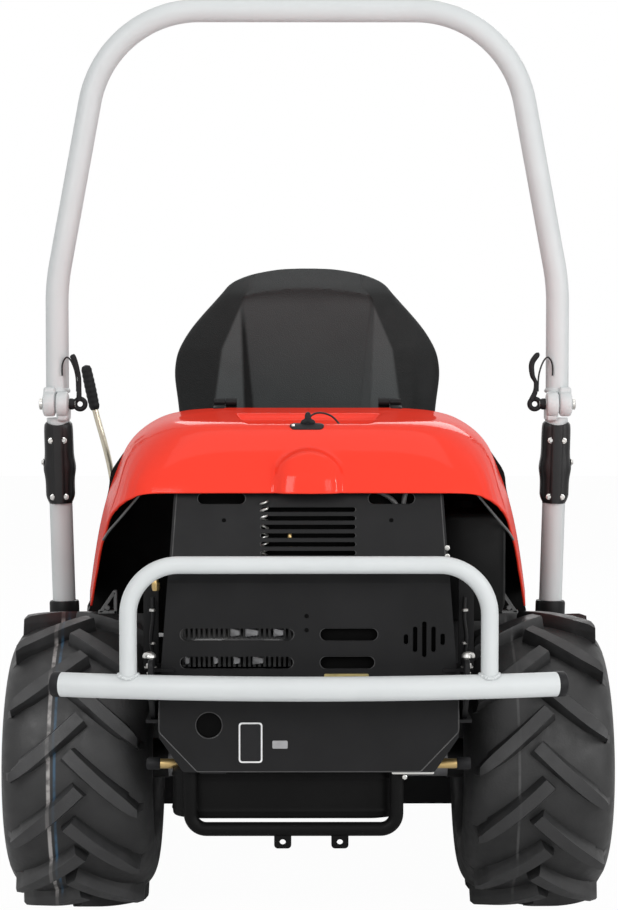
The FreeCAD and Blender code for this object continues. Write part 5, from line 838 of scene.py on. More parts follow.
HOOD_FLANK = [  # half width and height of the hood's front edge, from its skirt to its top
    (0.3955, 0.524), (0.387, 0.585), (0.3765, 0.645), (0.3625, 0.7), (0.344, 0.75),
    (0.326, 0.79), (0.3, 0.819), (0.264, 0.841), (0.225, 0.8515), (0.185, 0.8555),
    (0.15, 0.857)]
HINGE_FACE = -0.3545
HOOD_TOP = 0.857
REAR_TOP = 0.849
HOOD_REAR_Z = 0.7395
RECESS_FRONT, CREASE = -0.5665, -0.8315


def plateau(y):
    """Height of the hood's top: it falls 12 mm on a gentle bow from the hinge to the crease."""
    t = np.clip((HINGE_FACE - y) / (HINGE_FACE - CREASE), 0, 1.2)
    return HOOD_TOP - 0.012 * t ** 1.6


def recess(x, y):
    """Depth of the sunk middle, with sloped walls; it runs out through the crease."""
    half = np.interp(y, [CREASE, RECESS_FRONT], [0.1, 0.123])
    wall = ease(half - abs(x), -0.004, 0.008)
    start = ease(RECESS_FRONT - y, -0.006, 0.016)
    depth = np.interp(y, [CREASE, RECESS_FRONT], [0.008, 0.012])
    return depth * wall * start * ease(y, CREASE + 0.002, CREASE + 0.04)


def hood_surface():
    """The hood's outer skin as rounded levels that shrink from the lower edge to the middle.

    Each level is a U seen from above: a superellipse with straight flanks. Its half width
    and reach to the rear follow one profile for the flanks and one for the rear, blended by
    how far back a point lies, so the lower edge climbs in an arch from flank to rear.
    """
    angle = np.linspace(0, np.pi, 4001)
    power = 2 / 6.5
    unit = np.stack([np.sign(np.cos(angle)) * abs(np.cos(angle)) ** power, np.sin(angle) ** power],
                    1)
    run = np.concatenate([[0], np.cumsum(np.hypot(*(np.diff(unit, axis=0) * (0.36, 0.55)).T))])
    even = np.linspace(0, run[-1], 361)
    across = np.interp(even, run, unit[:, 0])[None, :]
    back = np.interp(even, run, unit[:, 1])[None, :]
    back = back - back[0, 0] * (1 - back)
    flank = smooth_line(HOOD_FLANK, 7)
    rear = smooth_line([(0.552, HOOD_REAR_Z), (0.547, 0.753), (0.54, 0.768), (0.532, 0.783),
                        (0.523, 0.798), (0.512, 0.813), (0.499, 0.8275), (0.483, 0.8395),
                        (0.464, 0.846), (0.443, 0.848), (0.42, REAR_TOP)], 7)
    share = ease(back, 0.3, 0.985)
    low_edge = np.interp(rear[0, 0] * back,
                         *np.transpose(smooth_line([(0.212, 0.524), (0.29, 0.605), (0.369, 0.656),
                                                    (0.427, 0.69), (0.47, 0.7085), (0.502, 0.7205),
                                                    (0.52, 0.7275), (0.536, 0.735),
                                                    (0.545, 0.7385), (0.552, HOOD_REAR_Z)])))
    z = flank[:, 1:] * (1 - share) + rear[:, 1:] * share
    first = z[:1]
    last = z[-1:]
    z = low_edge + (z - first) / (last - first) * (last - low_edge)
    half = np.interp(z, flank[:, 1], flank[:, 0])
    taper = 1 - rear[:, :1] * back * (0.27 - 0.13 * ease(z, 0.73, 0.85))
    square = np.interp(back, [0.5, 0.7, 0.85, 0.906, 0.95, 0.978, 1.0],
                       [0.001, 0.014, 0.05, 0.081, 0.125, 0.185, 0.22])
    taper = taper * (1 + square * (1 - ease(z, 0.745, 0.83)))
    x = half * across * taper
    lowered = z - (HOOD_TOP - REAR_TOP) * (1 - share) * ease(z, 0.74, 0.85)
    depth = np.where(z > HOOD_REAR_Z, np.interp(lowered, rear[:, 1], rear[:, 0]),
                     rear[0, 0] + (HOOD_REAR_Z - z) * 0.25)
    y = HINGE_FACE - depth * back
    levels = np.stack([x, y, z], 2)
    # from the last level the skin runs level to the spine
    border = levels[-1]
    spine = np.stack([0 * border[:, 0], np.clip(border[:, 1], -0.7, HINGE_FACE), 0 * border[:, 0]],
                     1)
    q = np.linspace(0, 1, 59)[1:, None, None]
    flat = border + (spine - border) * q
    crown = plateau(flat[:, :, 1])
    blend = ease(q[:, :, 0], 0, 0.25)
    flat[:, :, 2] = border[:, 2] * (1 - blend) + crown * blend
    points = np.concatenate([levels, flat])
    x, y, z = points[..., 0], points[..., 1], points[..., 2]
    sunk = recess(x, y)
    bulge = 0.019 * np.clip(1 - abs(x / 0.052) ** 3, 0, 1) ** 0.6
    bulge = bulge * ease(0.812 - 0.024 * (x / 0.052) ** 2 - z, 0, 0.022)
    bulge = bulge * ease(-y, -CREASE - 0.01, -CREASE + 0.03)
    points = points + np.stack([0 * x, -bulge * 0.82, bulge * 0.5 * ease(z, 0.74, 0.76) - sunk], 2)
    return points


def make_hood():
    """The hood's skin with the thickness of its moulding."""
    shape = Shape().grid(hood_surface())
    thing = shape.piece("hood_skin", "hood", "red_paint", smooth=50, replaces=["engine_hood"])
    wall = thing.modifiers.new("wall", "SOLIDIFY")
    wall.thickness = 0.0035
    wall.offset = -1


def make_hood_fittings():
    """Seal plate on the bulkhead, moving hinge halves, stays, and the latch's lobed knob."""
    edge = smooth_line(HOOD_FLANK, 5)
    wide = 0.0085 * np.exp(-((edge[:, 1] - 0.742) / 0.024) ** 2) + 0.001 - 0.002 * ease(edge[:, 1],
                                                                                        0.765,
                                                                                        0.79)
    right = edge + np.stack([wide, 0 * wide - 0.001], 1)
    right = np.vstack([[(0.235, 0.4), (0.262, 0.446), (0.385, 0.45), (0.398, 0.462)], right])
    outline = np.vstack([right, right[::-1] * (-1, 1)])
    seal = Shape().solid(slab(outline, -0.3515, -0.3483, "XZ"))
    seal.piece("bulkhead_seal", "chassis", "black_paint", "deep_black")
    hinges = Shape()
    barrel = turned([(0.15, 0.0032), (0.15, 0.0058), (0.1508, 0.0063), (0.1692, 0.0063),
                     (0.17, 0.0058), (0.17, 0.0032)], "X", (0, -0.3415, 0.867), 32)
    hinges.loop(both_hands(barrel))
    leaf = plate(0.15, 0.17, -0.3915, -0.3445, 0.003, 0, 0.0027, "XY", 0.0006)
    leaf[..., 2] += np.interp(leaf[..., 1], [-0.3915, -0.36, -0.3445], [0.856, 0.8568, 0.86])
    leaves = Shape().solid(both_hands(leaf))
    leaves.piece("hood_hinge_leaves", "hood", "black_paint")
    hinges.piece("hood_hinge_barrels", "hood", "black_paint")
    stays = Shape()
    for side in (-1, 1):
        line = smooth_line([(side * 0.268, -0.866, 0.733), (side * 0.301, -0.832, 0.694),
                            (side * 0.3215, -0.802, 0.671), (side * 0.337, -0.735, 0.651)])
        stays.solid(swept(line, 0.0021, 10))
    stays.piece("hood_stays", "hood", "zinc_steel", "dull_steel")
    # the knob faces the rear; its radius swells three times round its axis
    turn = np.linspace(0, 2 * np.pi, 96, endpoint=False)[None, :]
    level = np.array([-0.8325, -0.8318, -0.83, -0.824, -0.8222, -0.8215])[:, None]
    share = np.array([0.1, 0.72, 1.0, 1.0, 0.82, 0.1])[:, None]
    radius = share * (0.0098 + 0.0036 * np.cos(3 * (turn - math.pi / 2)))
    knob = np.stack([radius * np.cos(turn) - 0.001, level + 0 * turn,
                     0.8505 + radius * np.sin(turn)], 2)
    latch = Shape().solid(knob)
    latch.tube(turned([(0.8395, 0.0), (0.8395, 0.0048), (0.848, 0.0042), (0.848, 0.0)], "Z",
                      (-0.001, -0.8275, 0), 24))
    base = plate(-0.03, 0.0245, -0.844, -0.8275, 0.008, 0.0, 0.0022, "XY", 0.0004, steps=8)
    base[..., 2] += np.interp(base[..., 1], [-0.844, -0.8358, -0.8275], [0.8352, 0.8408, 0.8442])
    latch.solid(base)
    latch.piece("latch_knob", "hood", "black_plastic", replaces=["hood_latch"], subdivide=1)
    # a bright rivet at the plate's left end stands in for the highlight there: a painted highlight
    button = Shape()
    button.tube(turned([(0.0, 0.0), (0.0, 0.003), (0.003, 0.0028), (0.0036, 0.0)], "Z",
                       (-0.0245, -0.8372, 0.8412), 20))
    button.piece("latch_highlight_rivet", "hood", "zinc_steel")


# ---------------------------------------------------------------- roll-over frame details

def leaned(points, hinge):
    """Points given about a post's own axis, leaned in by 1.6 degrees under the fold hinge."""
    lean = math.radians(1.6)
    x = points[..., 0] * math.cos(lean) + points[..., 2] * math.sin(lean)
    z = -points[..., 0] * math.sin(lean) + points[..., 2] * math.cos(lean)
    return np.stack([x, points[..., 1], z], -1) + hinge


POST_AXIS = np.array([0.464, -0.2565, 0.862])
FOLD_AXIS = np.array([0.464, -0.2845, 0.862])


def clamp_sleeve():
    """A sleeve round the post: a round middle between flatter ears whose corners are eased.

    Seen from above the section is a superellipse; its half width shrinks at both ends, and
    a smooth swell at mid height carries the cross bolt.
    """
    v = np.linspace(0, 1, 45)[:, None]
    turn = np.linspace(0, 2 * np.pi, 96, endpoint=False)[None, :]
    end = np.clip(1 - abs(2 * v - 1) ** 16, 0, 1) ** 0.5
    swell = 0.0032 * np.exp(-((v - 0.46) / 0.11) ** 2)
    wide = 0.0223 + 0.0045 * end + swell - 0.0035 * (1 - ease(v, 0, 0.12))
    deep = 0.0262 + 0 * v
    power = 2 / 2.6
    c, s = np.cos(turn), np.sin(turn)
    x = wide * np.sign(c) * abs(c) ** power
    y = deep * np.sign(s) * abs(s) ** power
    ridge = 0.0022 * (1 - ease(abs(x), 0.008, 0.0115)) * ease(abs(s), 0.5, 0.8)
    y = y + np.sign(s) * (ridge - 0.0012)
    low, high = -0.185, -0.0395 + 0 * v
    z = low + (high - low) * v + 0.006 * ease(v, 0.9, 1) * abs(c) ** 2
    return np.stack([x, y, z + 0 * x], 2)


def make_clamps():
    """Both clamp sleeves, with a round bore, and the bolts through them."""
    sleeve = clamp_sleeve()
    rows, columns = sleeve.shape[:2]
    bore = np.broadcast_to(ring(0.0216, columns), (rows, columns, 2))
    inner = leaned(np.concatenate([bore, sleeve[..., 2:]], axis=2), POST_AXIS)
    sleeve = leaned(sleeve, POST_AXIS)
    shape = Shape()
    for side in (1, -1):
        hand = (side, 1, 1)
        shape.tube(sleeve * hand)
        shape.tube(inner[:, ::-1] * hand)
        for row in (0, -1):
            shape.tube(np.stack([sleeve[row], inner[row]]) * hand)
    shape.piece("clamp_sleeves", "chassis", "black_paint", "gloss_black", smooth=40,
                replaces=["rops_clamps"])
    bolts = Shape()
    places = [leaned(np.array([x, -0.0235, z]), POST_AXIS) for x in (-0.012, 0.012)
              for z in (-0.068, -0.1725)]
    places += [p * (-1, 1, 1) for p in places]
    fasteners(bolts, places, "-Y", 0.0042, 0.0038, washer=0.0055)
    across = [leaned(np.array([0.029, -0.004, -0.108]), POST_AXIS)]
    paired_fasteners(bolts, across, 0.0052, 0.004, washer=0.0068)
    bolts.piece("clamp_bolts", "chassis", "zinc_steel", smooth=35)


HOOP_RUN = [(-0.464, 0.8875), (-0.464, 1.084), (-0.37, 1.586), (0.37, 1.586), (0.464, 1.084),
            (0.464, 0.8875)]


def hinge_lobe(low, high, turn_up):
    """Half of a fold knuckle: a round eye on the fold axis with its ear beside the tube."""
    eye = [(low, 0.0), (low, 0.017), (low + 0.002, 0.0215), (low + 0.005, 0.023),
           (high - 0.005, 0.023), (high - 0.002, 0.0215), (high, 0.017), (high, 0.0)]
    lobe = turned(eye, "X", FOLD_AXIS * (0, 1, 1), 56)
    ends = sorted((0.862, 0.862 + turn_up * 0.0315))
    ear = plate(-0.29, -0.24, ends[0], ends[1], 0.008, low + 0.0005, high - 0.0005, "YZ", 0.003,
                steps=7)
    return lobe, ear


def make_frame():
    """The hoop and the posts: tubes with the two halves of each fold knuckle."""
    hoop, posts = Shape(), Shape()
    line = bent(HOOP_RUN, (0.4, 0.205, 0.205, 0.4), 24)
    path = np.stack([line[:, 0], 0 * line[:, 0] + POST_AXIS[1], line[:, 1]], 1)
    hoop.solid(swept(path, 0.0212, 56))
    weld = turned([(0.02, 0.0208), (0.0212, 0.023), (0.0235, 0.0238), (0.0275, 0.0226),
                   (0.029, 0.0208)], "Z", POST_AXIS, 56)
    hoop.loop(both_hands(weld))
    tube = leaned(turned([(-0.415, 0.0), (-0.415, 0.0212), (-0.0265, 0.0212), (-0.0255, 0.02),
                          (-0.0255, 0.0)], "Z", (0, 0, 0), 56), POST_AXIS)
    posts.tube(both_hands(tube))
    for shape, low, high, turn_up in ((hoop, 0.4645, 0.4875, 1), (posts, 0.4405, 0.4635, -1)):
        lobe, ear = hinge_lobe(low, high, turn_up)
        shape.tube(both_hands(lobe))
        shape.solid(both_hands(ear))
    hoop.piece("hoop_tube", "rops_hoop", "grey_paint", smooth=38, replaces=["rops_hoop"])
    posts.piece("post_tubes", "chassis", "grey_paint", smooth=38, replaces=["rops_posts"])


PIN_HANDLES = {  # how far out and how high each pin's handle runs, from its eye to its end
    1: [(0.4134, 0.87), (0.42, 0.885), (0.4205, 0.902), (0.4145, 0.9155),
        (0.4138, 0.9376), (0.4265, 0.9567)],
    -1: [(0.4212, 0.868), (0.4208, 0.8873), (0.4203, 0.9091), (0.4244, 0.9267),
         (0.4299, 0.945), (0.4345, 0.953)],
}


def pin_handle(side):
    """A moulded handle: a tapering round bar carried up its own gentle bow."""
    line = smooth_line(PIN_HANDLES[side], 9)
    path = np.stack([side * line[:, 0], 0 * line[:, 0] - 0.2885, line[:, 1]], 1)
    t = np.linspace(0, 1, len(path))
    radius = 0.005 - 0.0015 * np.exp(-((t - 0.4) / 0.2) ** 2) + 0.0004 * t
    radius = radius * np.sqrt(np.clip(1 - np.clip((t - 0.93) / 0.07, 0, 1) ** 2, 0.02, 1))
    return swept(path, radius, 18)


def make_fold_pins():
    """The fold pins with their bosses, black eyes and moulded handles."""
    black, bright = Shape(), Shape()
    bright.tube(both_hands(turned([(0.428, 0.0), (0.428, 0.0078), (0.489, 0.0078), (0.489, 0.0105),
                                   (0.4935, 0.0105), (0.4947, 0.008), (0.4947, 0.0)], "X",
                                  FOLD_AXIS * (0, 1, 1), 32)))
    u = np.linspace(0, 2 * np.pi, 48, endpoint=False)[:, None]
    w = np.linspace(0, 2 * np.pi, 20, endpoint=False)[None, :]
    thick = 0.0046
    reach = 0.0094 + thick * np.cos(w)
    eye = np.stack([0.4195 + reach * np.cos(u), FOLD_AXIS[1] + 1.25 * thick * np.sin(w) + 0 * u,
                    0.862 + reach * np.sin(u)], 2)
    black.loop(both_hands(eye))
    neck = turned([(0.4285, 0.0), (0.4285, 0.0088), (0.434, 0.0105), (0.4385, 0.0105),
                   (0.4395, 0.009), (0.4395, 0.0)], "X", FOLD_AXIS * (0, 1, 1), 32)
    black.tube(both_hands(neck))
    for side in (1, -1):
        black.solid(pin_handle(side))
    bright.piece("fold_pin_shafts", "rops_hoop", "zinc_steel", replaces=["rops_pins"])
    black.piece("fold_pin_handles", "rops_hoop", "black_plastic")


def make_sockets():
    """Dark collars at the foot of the posts."""
    shape = Shape()
    collar = leaned(turned([(-0.402, 0.0222), (-0.402, 0.0262), (-0.399, 0.0275), (-0.371, 0.0275),
                            (-0.3675, 0.0262), (-0.3665, 0.0222)], "Z", (0, 0, 0), 56), POST_AXIS)
    shape.loop(both_hands(collar))
    shape.piece("post_collars", "chassis", "black_paint")


def make_lever():
    """Lift lever: a bent rod with a black grip, hinged between two cheeks on the floor."""
    rod, grip, cheeks = Shape(), Shape(), Shape()
    foot, bend, neck, top = (np.array(p) for p in ((-0.352, 0.0535, 0.423),
                                                   (-0.3855, -0.036, 0.7276),
                                                   (-0.4146, -0.0465, 0.8458),
                                                   (-0.431, -0.0465, 0.924)))
    line = smooth_line([foot, foot + (bend - foot) * 0.5, bend, neck, top], 12)
    rod.solid(swept(line, 0.006, 20))
    rod.tube(turned([(-0.374, 0.0), (-0.374, 0.007), (-0.371, 0.007), (-0.371, 0.0048),
                     (-0.333, 0.0048), (-0.333, 0.007), (-0.33, 0.007), (-0.33, 0.0)], "X",
                    (0, foot[1], foot[2]), 28))
    rod.piece("lever_rod", "chassis", "zinc_steel", "warm_zinc", replaces=["lift_lever"])
    t = np.linspace(0, 1, 40)
    low = neck + (neck - top) * 0.04
    path = low + (top + (top - neck) * 0.1 - low) * t[:, None]
    ends = np.clip(1 - abs(2 * t - 1) ** 18, 0.02, 1) ** 0.5
    radius = (0.0098 + 0.0011 * np.sin(np.pi * t) + 0.0004 * np.cos(t * 2 * np.pi * 9)) * ends
    grip.solid(swept(path, radius, 28))
    grip.piece("lever_grip", "chassis", "black_plastic")
    outline = rounded([(0.0285, 0.385), (0.0785, 0.385), (0.074, 0.438), (0.033, 0.438)],
                      [0.002, 0.002, 0.016, 0.016], 8)
    for low_x in (-0.3695, -0.3395):
        cheeks.solid(slab(outline, low_x, low_x + 0.005, "YZ", 0.0008))
    cheeks.solid(plate(-0.374, -0.33, 0.0245, 0.0825, 0.004, 0.385, 0.3895, "XY", 0.0008))
    cheeks.piece("lever_cheeks", "chassis", "black_paint")


# ---------------------------------------------------------------- rear end details

PANEL_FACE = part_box("rear_guard_panel")[0][1]
PANEL_HOLE = (-0.156, 0.377)
PLATE_PROUD = 0.0009


def panel_face(z):
    """Rear face of the panel at a height: upright to 600 mm, then it leans forwards."""
    return PANEL_FACE + 0.044 * np.clip((np.asarray(z) - 0.6) / 0.147, 0, 1)


def make_panel_fittings():
    """Blank label, blank tag, yellow strip and screws on the rear panel."""
    label = plate(-0.1095, -0.0725, 0.318, 0.3815, 0.005, PANEL_FACE - 0.0006,
                  PANEL_FACE + 0.0004, "XZ")
    Shape().solid(label).piece("panel_label", "chassis", "grey_paint", "label_white")
    blanks = [("panel_label_field", -0.107, -0.075, 0.3205, 0.379, 0.0035, "black_plastic", None),
              ("panel_tag", -0.057, -0.033, 0.3405, 0.353, 0.002, "cast_metal", None),
              ("panel_strip", 0.024, 0.0935, 0.44, 0.458, 0.002, "zinc_steel", "yellow_strip")]
    for name, left, right, foot, top, radius, slot, look in blanks:
        blank = plate(left, right, foot, top, radius, PANEL_FACE - PLATE_PROUD, PANEL_FACE, "XZ")
        Shape().solid(blank).piece(name, "chassis", slot, look)
    dark = Shape()
    dome = [(0.001, 0.0), (-0.0004, 0.0034), (-0.0012, 0.003), (-0.0014, 0.0)]
    for x, z in ((-0.133, 0.6958), (0.1295, 0.6958), (-0.0035, 0.5485), (-0.0035, 0.5265)):
        dark.tube(turned(dome, "Y", (x, float(panel_face(z)), z), 20))
    dark.piece("panel_plugs", "chassis", "black_plastic", "painted_shade_black")
    screws = Shape()
    places = [(0.2165, float(panel_face(z)) - 0.0005, z) for z in (0.6535, 0.6405)]
    fasteners(screws, places, "-Y", 0.003, 0.0026, washer=0.004)
    screws.piece("panel_screws", "chassis", "zinc_steel")


def rim_of(outline, face, width, height):
    """A raised lip that follows a closed outline on the panel: a small arch swept round it."""
    centre = outline.mean(0)
    radius = np.hypot(*(outline - centre).T)
    unit = (outline - centre) / radius[:, None]
    rings = []
    for step in np.linspace(0, np.pi, 5):
        flat = outline + unit * width * (0.5 - 0.5 * math.cos(step))
        depth = face(flat[:, 1]) - height * math.sin(step)
        rings.append(np.stack([flat[:, 0], depth, flat[:, 1]], 1))
    return np.stack(rings)


def make_louvre_lips():
    """Thin rolled lips round the slots, louvres and hole, and a bead along the panel's edge."""
    shape = Shape()
    spans = [(-0.2, -0.024, 0.51, 0.529), (-0.2, -0.025, 0.466, 0.485),
             (0.018, 0.107, 0.51, 0.529), (0.018, 0.102, 0.466, 0.485),
             (-0.174, -0.1, 0.721, 0.738), (0.094, 0.166, 0.721, 0.738)]
    spans += [(-0.075, 0.073, 0.629 + 0.0133 * k, 0.636 + 0.0133 * k) for k in range(7)]
    outlines = [rounded([(left, low), (right, low), (right, high), (left, high)],
                        (high - low) * 0.495, 8) for left, right, low, high in spans]
    outlines.append(ring(0.02, 40) + PANEL_HOLE)
    for outline in outlines:
        shape.tube(rim_of(outline, panel_face, 0.0016, 0.0008))
    half = bent([(0.0, 0.304), (0.175, 0.304), (0.234, 0.366), (0.234, 0.416), (0.213, 0.644),
                 (0.207, 0.745)], (0.008, 0.012, 0.03, 0.03), 8)
    edge = np.vstack([half[::-1] * (-1, 1), half[1:]])
    path = np.stack([edge[:, 0], panel_face(edge[:, 1]) + 0.0004, edge[:, 1]], 1)
    shape.solid(swept(path, 0.0012, 8))
    shape.piece("panel_lips", "chassis", "black_paint", "engine_metal")
    # a near-black cup inside the hole: painted shade
    cup = lathe([(0.0, 0.0205), (0.03, 0.0205)], "Y",
                (PANEL_HOLE[0], PANEL_FACE + 0.0034, PANEL_HOLE[1]), 40)
    Shape().tube(cup).piece("hole_cup", "chassis", "black_paint", "painted_shade_black")


def make_engine_details():
    """What shows through the slots: a finned drum, a spring and pipes behind the panel."""
    drum, glints = Shape(), Shape()
    for x in np.linspace(-0.196, -0.03, 22):
        for z in (0.4755, 0.5195):
            fin = np.array([(-0.0026, -0.011), (0.0026, -0.011), (0.0026, 0.011),
                            (-0.0026, 0.011)]) + (x, z)
            drum.solid(slab(fin, -0.9, -0.872, "XZ", 0.0008))
    drum.tube(turned([(-0.205, 0.0), (-0.205, 0.03), (-0.2, 0.034), (-0.026, 0.034),
                      (-0.021, 0.03), (-0.021, 0.0)], "X", (0, -0.868, 0.4975), 48))
    drum.piece("engine_fins", "chassis", "engine_metal")
    # lighter cast patches where glints show through the slots: painted glints
    for z, spans in ((0.5195, ((-0.123, -0.108), (-0.0997, -0.079), (-0.0554, -0.0395))),
                     (0.4755, ((-0.1946, -0.187), (-0.15, -0.142), (-0.1187, -0.1076),
                               (-0.0886, -0.071)))):
        for low, high in spans:
            outline = rounded([(low, z - 0.007), (high, z - 0.0045), (high, z + 0.004),
                               (low, z + 0.0075)], 0.0022, 5)
            glints.solid(slab(outline, -0.906, -0.898, "XZ", 0.0012))
    glints.piece("engine_glint_patches", "chassis", "engine_metal", "cast_metal")
    turns, coil = 9, 0.0056
    t = np.linspace(0, turns * 2 * np.pi, 300)
    spring = np.stack([-0.07 + coil * np.cos(t), -0.893 + coil * np.sin(t),
                       0.628 + t / t[-1] * 0.098], 1)
    Shape().solid(swept(spring, 0.0019, 8)).piece("governor_spring", "chassis", "zinc_steel")
    pipes = Shape()
    for line in ([(0.1, -0.876, 0.744), (0.125, -0.879, 0.732), (0.14, -0.879, 0.715),
                  (0.142, -0.876, 0.69)],
                 [(0.155, -0.877, 0.744), (0.151, -0.879, 0.73), (0.15, -0.879, 0.712),
                  (0.158, -0.876, 0.69)]):
        pipes.solid(swept(smooth_line(line, 8), 0.004, 14))
    pipes.piece("breather_pipes", "chassis", "engine_metal", "dull_steel")
    # near-black sheets behind the slots: painted shade
    dark = Shape()
    for left, right, foot, top, face in ((-0.185, 0.185, 0.604, 0.745, -0.87),
                                         (0.008, 0.216, 0.455, 0.545, -0.914)):
        dark.solid(plate(left, right, foot, top, 0.006, face, face + 0.0015, "XZ"))
    dark.piece("engine_shade_sheets", "chassis", "black_paint", "painted_shade_black")
    brass = Shape()
    for x, y, z, size in ((-0.2405, -0.893, 0.5905, 0.0066), (-0.052, -0.895, 0.6245, 0.0045),
                          (-0.03, -0.893, 0.668, 0.0035)):
        stem = [(-0.006, size * 0.8), (-0.002, size), (0.006, size), (0.008, size * 0.7),
                (0.013, size * 0.6)]
        brass.tube(lathe(stem, "Z", (x, y, z), 12))
    brass.piece("brass_fittings", "chassis", "zinc_steel", "brass")


def make_linkage():
    """Dark rods and brackets with small bright nuts, in the gaps on either side of the panel."""
    steel, black = Shape(), Shape()
    for side in (-1, 1):
        x = side * 0.2465
        rod = smooth_line([(x, -0.885, 0.484), (x + side * 0.002, -0.888, 0.51),
                           (x - side * 0.001, -0.886, 0.54), (x, -0.88, 0.572)], 8)
        black.solid(swept(rod, 0.0032, 12))
        fasteners(steel, [(x, -0.886, z) for z in (0.499, 0.551)], "Z", 0.005, 0.004)
        fasteners(steel, [(side * 0.247, -0.925, 0.4675)], "Z", 0.007, 0.0065, washer=0.01)
        outline = rounded([(side * 0.238, 0.455), (side * 0.262, 0.455), (side * 0.262, 0.588),
                           (side * 0.246, 0.6), (side * 0.238, 0.6)][::side], 0.004, 4)
        black.solid(slab(outline, -0.868, -0.862, "XZ"))
        shelf = [(side * 0.21, 0.4615), (side * 0.256, 0.4615), (side * 0.256, 0.4665),
                 (side * 0.21, 0.4665)][::side]
        black.solid(slab(rounded(shelf, 0.002, 4), -0.935, -0.87, "XZ"))
    steel.piece("linkage_nuts", "chassis", "zinc_steel")
    black.piece("linkage_brackets", "chassis", "black_paint")


BAR_Z, BAR_HALF, BAR_RADIUS, BAR_BEND = 0.445, 0.391, 0.019, 1.554
LOOP_HALF, LOOP_TOP, LOOP_RADIUS = 0.278, 0.633, 0.0135


def make_rear_bumper():
    """A bar bent to a gentle arc, the loop on it, and black brackets down to the deck."""
    tubes = Shape()
    reach = math.asin(BAR_HALF / BAR_BEND)
    turn = np.linspace(-reach, reach, 41)
    bar = np.stack([BAR_BEND * np.sin(turn),
                    REAR_AXLE[0] - 0.452 + BAR_BEND * (1 - np.cos(turn)), 0 * turn + BAR_Z], 1)
    tubes.solid(swept(bar, BAR_RADIUS, 48))
    line = bent([(-LOOP_HALF, BAR_Z), (-LOOP_HALF, LOOP_TOP), (LOOP_HALF, LOOP_TOP),
                 (LOOP_HALF, BAR_Z)], (0.077, 0.077), 16)
    loop = np.stack([line[:, 0], 0 * line[:, 0] + REAR_AXLE[0] - 0.429, line[:, 1]], 1)
    tubes.solid(swept(loop, LOOP_RADIUS, 40))
    tubes.piece("rear_bar_and_loop", "chassis", "grey_paint", replaces=["rear_bumper"])
    outline = rounded([(-0.976, 0.433), (-0.914, 0.385), (-0.834, 0.385), (-0.834, 0.415),
                       (-0.904, 0.485), (-0.976, 0.485)],
                      [0.001, 0.001, 0.001, 0.015, 0.02, 0.01], 7)
    brackets = Shape().solid(both_hands(slab(outline, 0.24, 0.248, "YZ", 0.001)))
    brackets.piece("rear_bar_brackets", "chassis", "black_paint")


def make_bumper_details():
    """Plugs in the ends of the rear bar, weld beads at the loop, and dome bolts."""
    lean = math.radians(14.6)
    plug = lathe([(-0.0075, 0.0196), (-0.0065, 0.0199), (0.0045, 0.0199), (0.007, 0.018),
                  (0.0085, 0.012), (0.009, 0.0)], "X", (0, 0, 0), 40)
    x = plug[..., 0] * math.cos(lean) - plug[..., 1] * math.sin(lean)
    y = plug[..., 0] * math.sin(lean) + plug[..., 1] * math.cos(lean)
    plug = np.stack([x, y, plug[..., 2]], 2) + (0.3905, -0.948, BAR_Z)
    Shape().tube(both_hands(plug)).piece("rear_bar_plugs", "chassis", "black_plastic")
    turn = np.linspace(0, 2 * np.pi, 60, endpoint=False)
    radius = 0.0145 + 0.0008 * np.sin(turn * 17)
    drop = BAR_RADIUS - np.sqrt(BAR_RADIUS ** 2 - (0.0145 * np.sin(turn)) ** 2 * 0.85)
    path = np.stack([LOOP_HALF + radius * np.cos(turn), -0.9755 + radius * np.sin(turn),
                     0.4645 - drop * 0.9], 1)
    bead = swept(np.vstack([path, path[:1]]), 0.0026, 8)
    Shape().tube(both_hands(bead)).piece("rear_bar_welds", "chassis", "grey_paint")
    bolts = Shape()
    places = [(0.248, -0.925, z) for z in (0.432, 0.462)]
    paired_fasteners(bolts, places, 0.0065, 0.005, washer=0.009)
    dome = turned([(0.0, 0.0), (0.0, 0.0105), (0.003, 0.0105), (0.0065, 0.0085), (0.0085, 0.0045),
                   (0.009, 0.0)], "Z", (0.248, -0.94, 0.4855), 28)
    bolts.tube(both_hands(dome))
    bolts.piece("bumper_bolts", "chassis", "zinc_steel")


def make_tank_details():
    """Fuel tank: a moulded shell with a seam, and its filler cap."""
    low, high = (np.array(c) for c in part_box("fuel_tank"))
    middle = (low + high) / 2
    v = np.linspace(0, 1, 61)[:, None]
    outline = rounded([(low[0], low[2]), (high[0], low[2]), (high[0], high[2]), (low[0], high[2])],
                      [0.018, 0.034, 0.03, 0.018], 9)
    y = low[1] + (high[1] - low[1]) * v
    end = np.clip(1 - abs(2 * v - 1) ** 26, 0, 1) ** 0.5
    seam = 0.0016 * np.exp(-((v - 0.5) / 0.012) ** 2)
    grow = (0.982 + 0.016 * end + seam / 0.05)[..., None]
    points = middle[[0, 2]] + (outline - middle[[0, 2]]) * grow * (0.93 + 0.07 * end[..., None])
    tank = np.stack([points[..., 0], y + 0 * points[..., 0], points[..., 1]], 2)
    Shape().solid(tank).piece("tank_shell", "chassis", "black_plastic", "deep_black",
                              replaces=["fuel_tank"], smooth=45)
    cap = lathe([(0.0, 0.028), (0.012, 0.03), (0.016, 0.026), (0.017, 0.0)], "Z",
                (middle[0], middle[1] + 0.02, high[2] - 0.002), 40)
    Shape().tube(cap).piece("tank_cap", "chassis", "black_plastic")


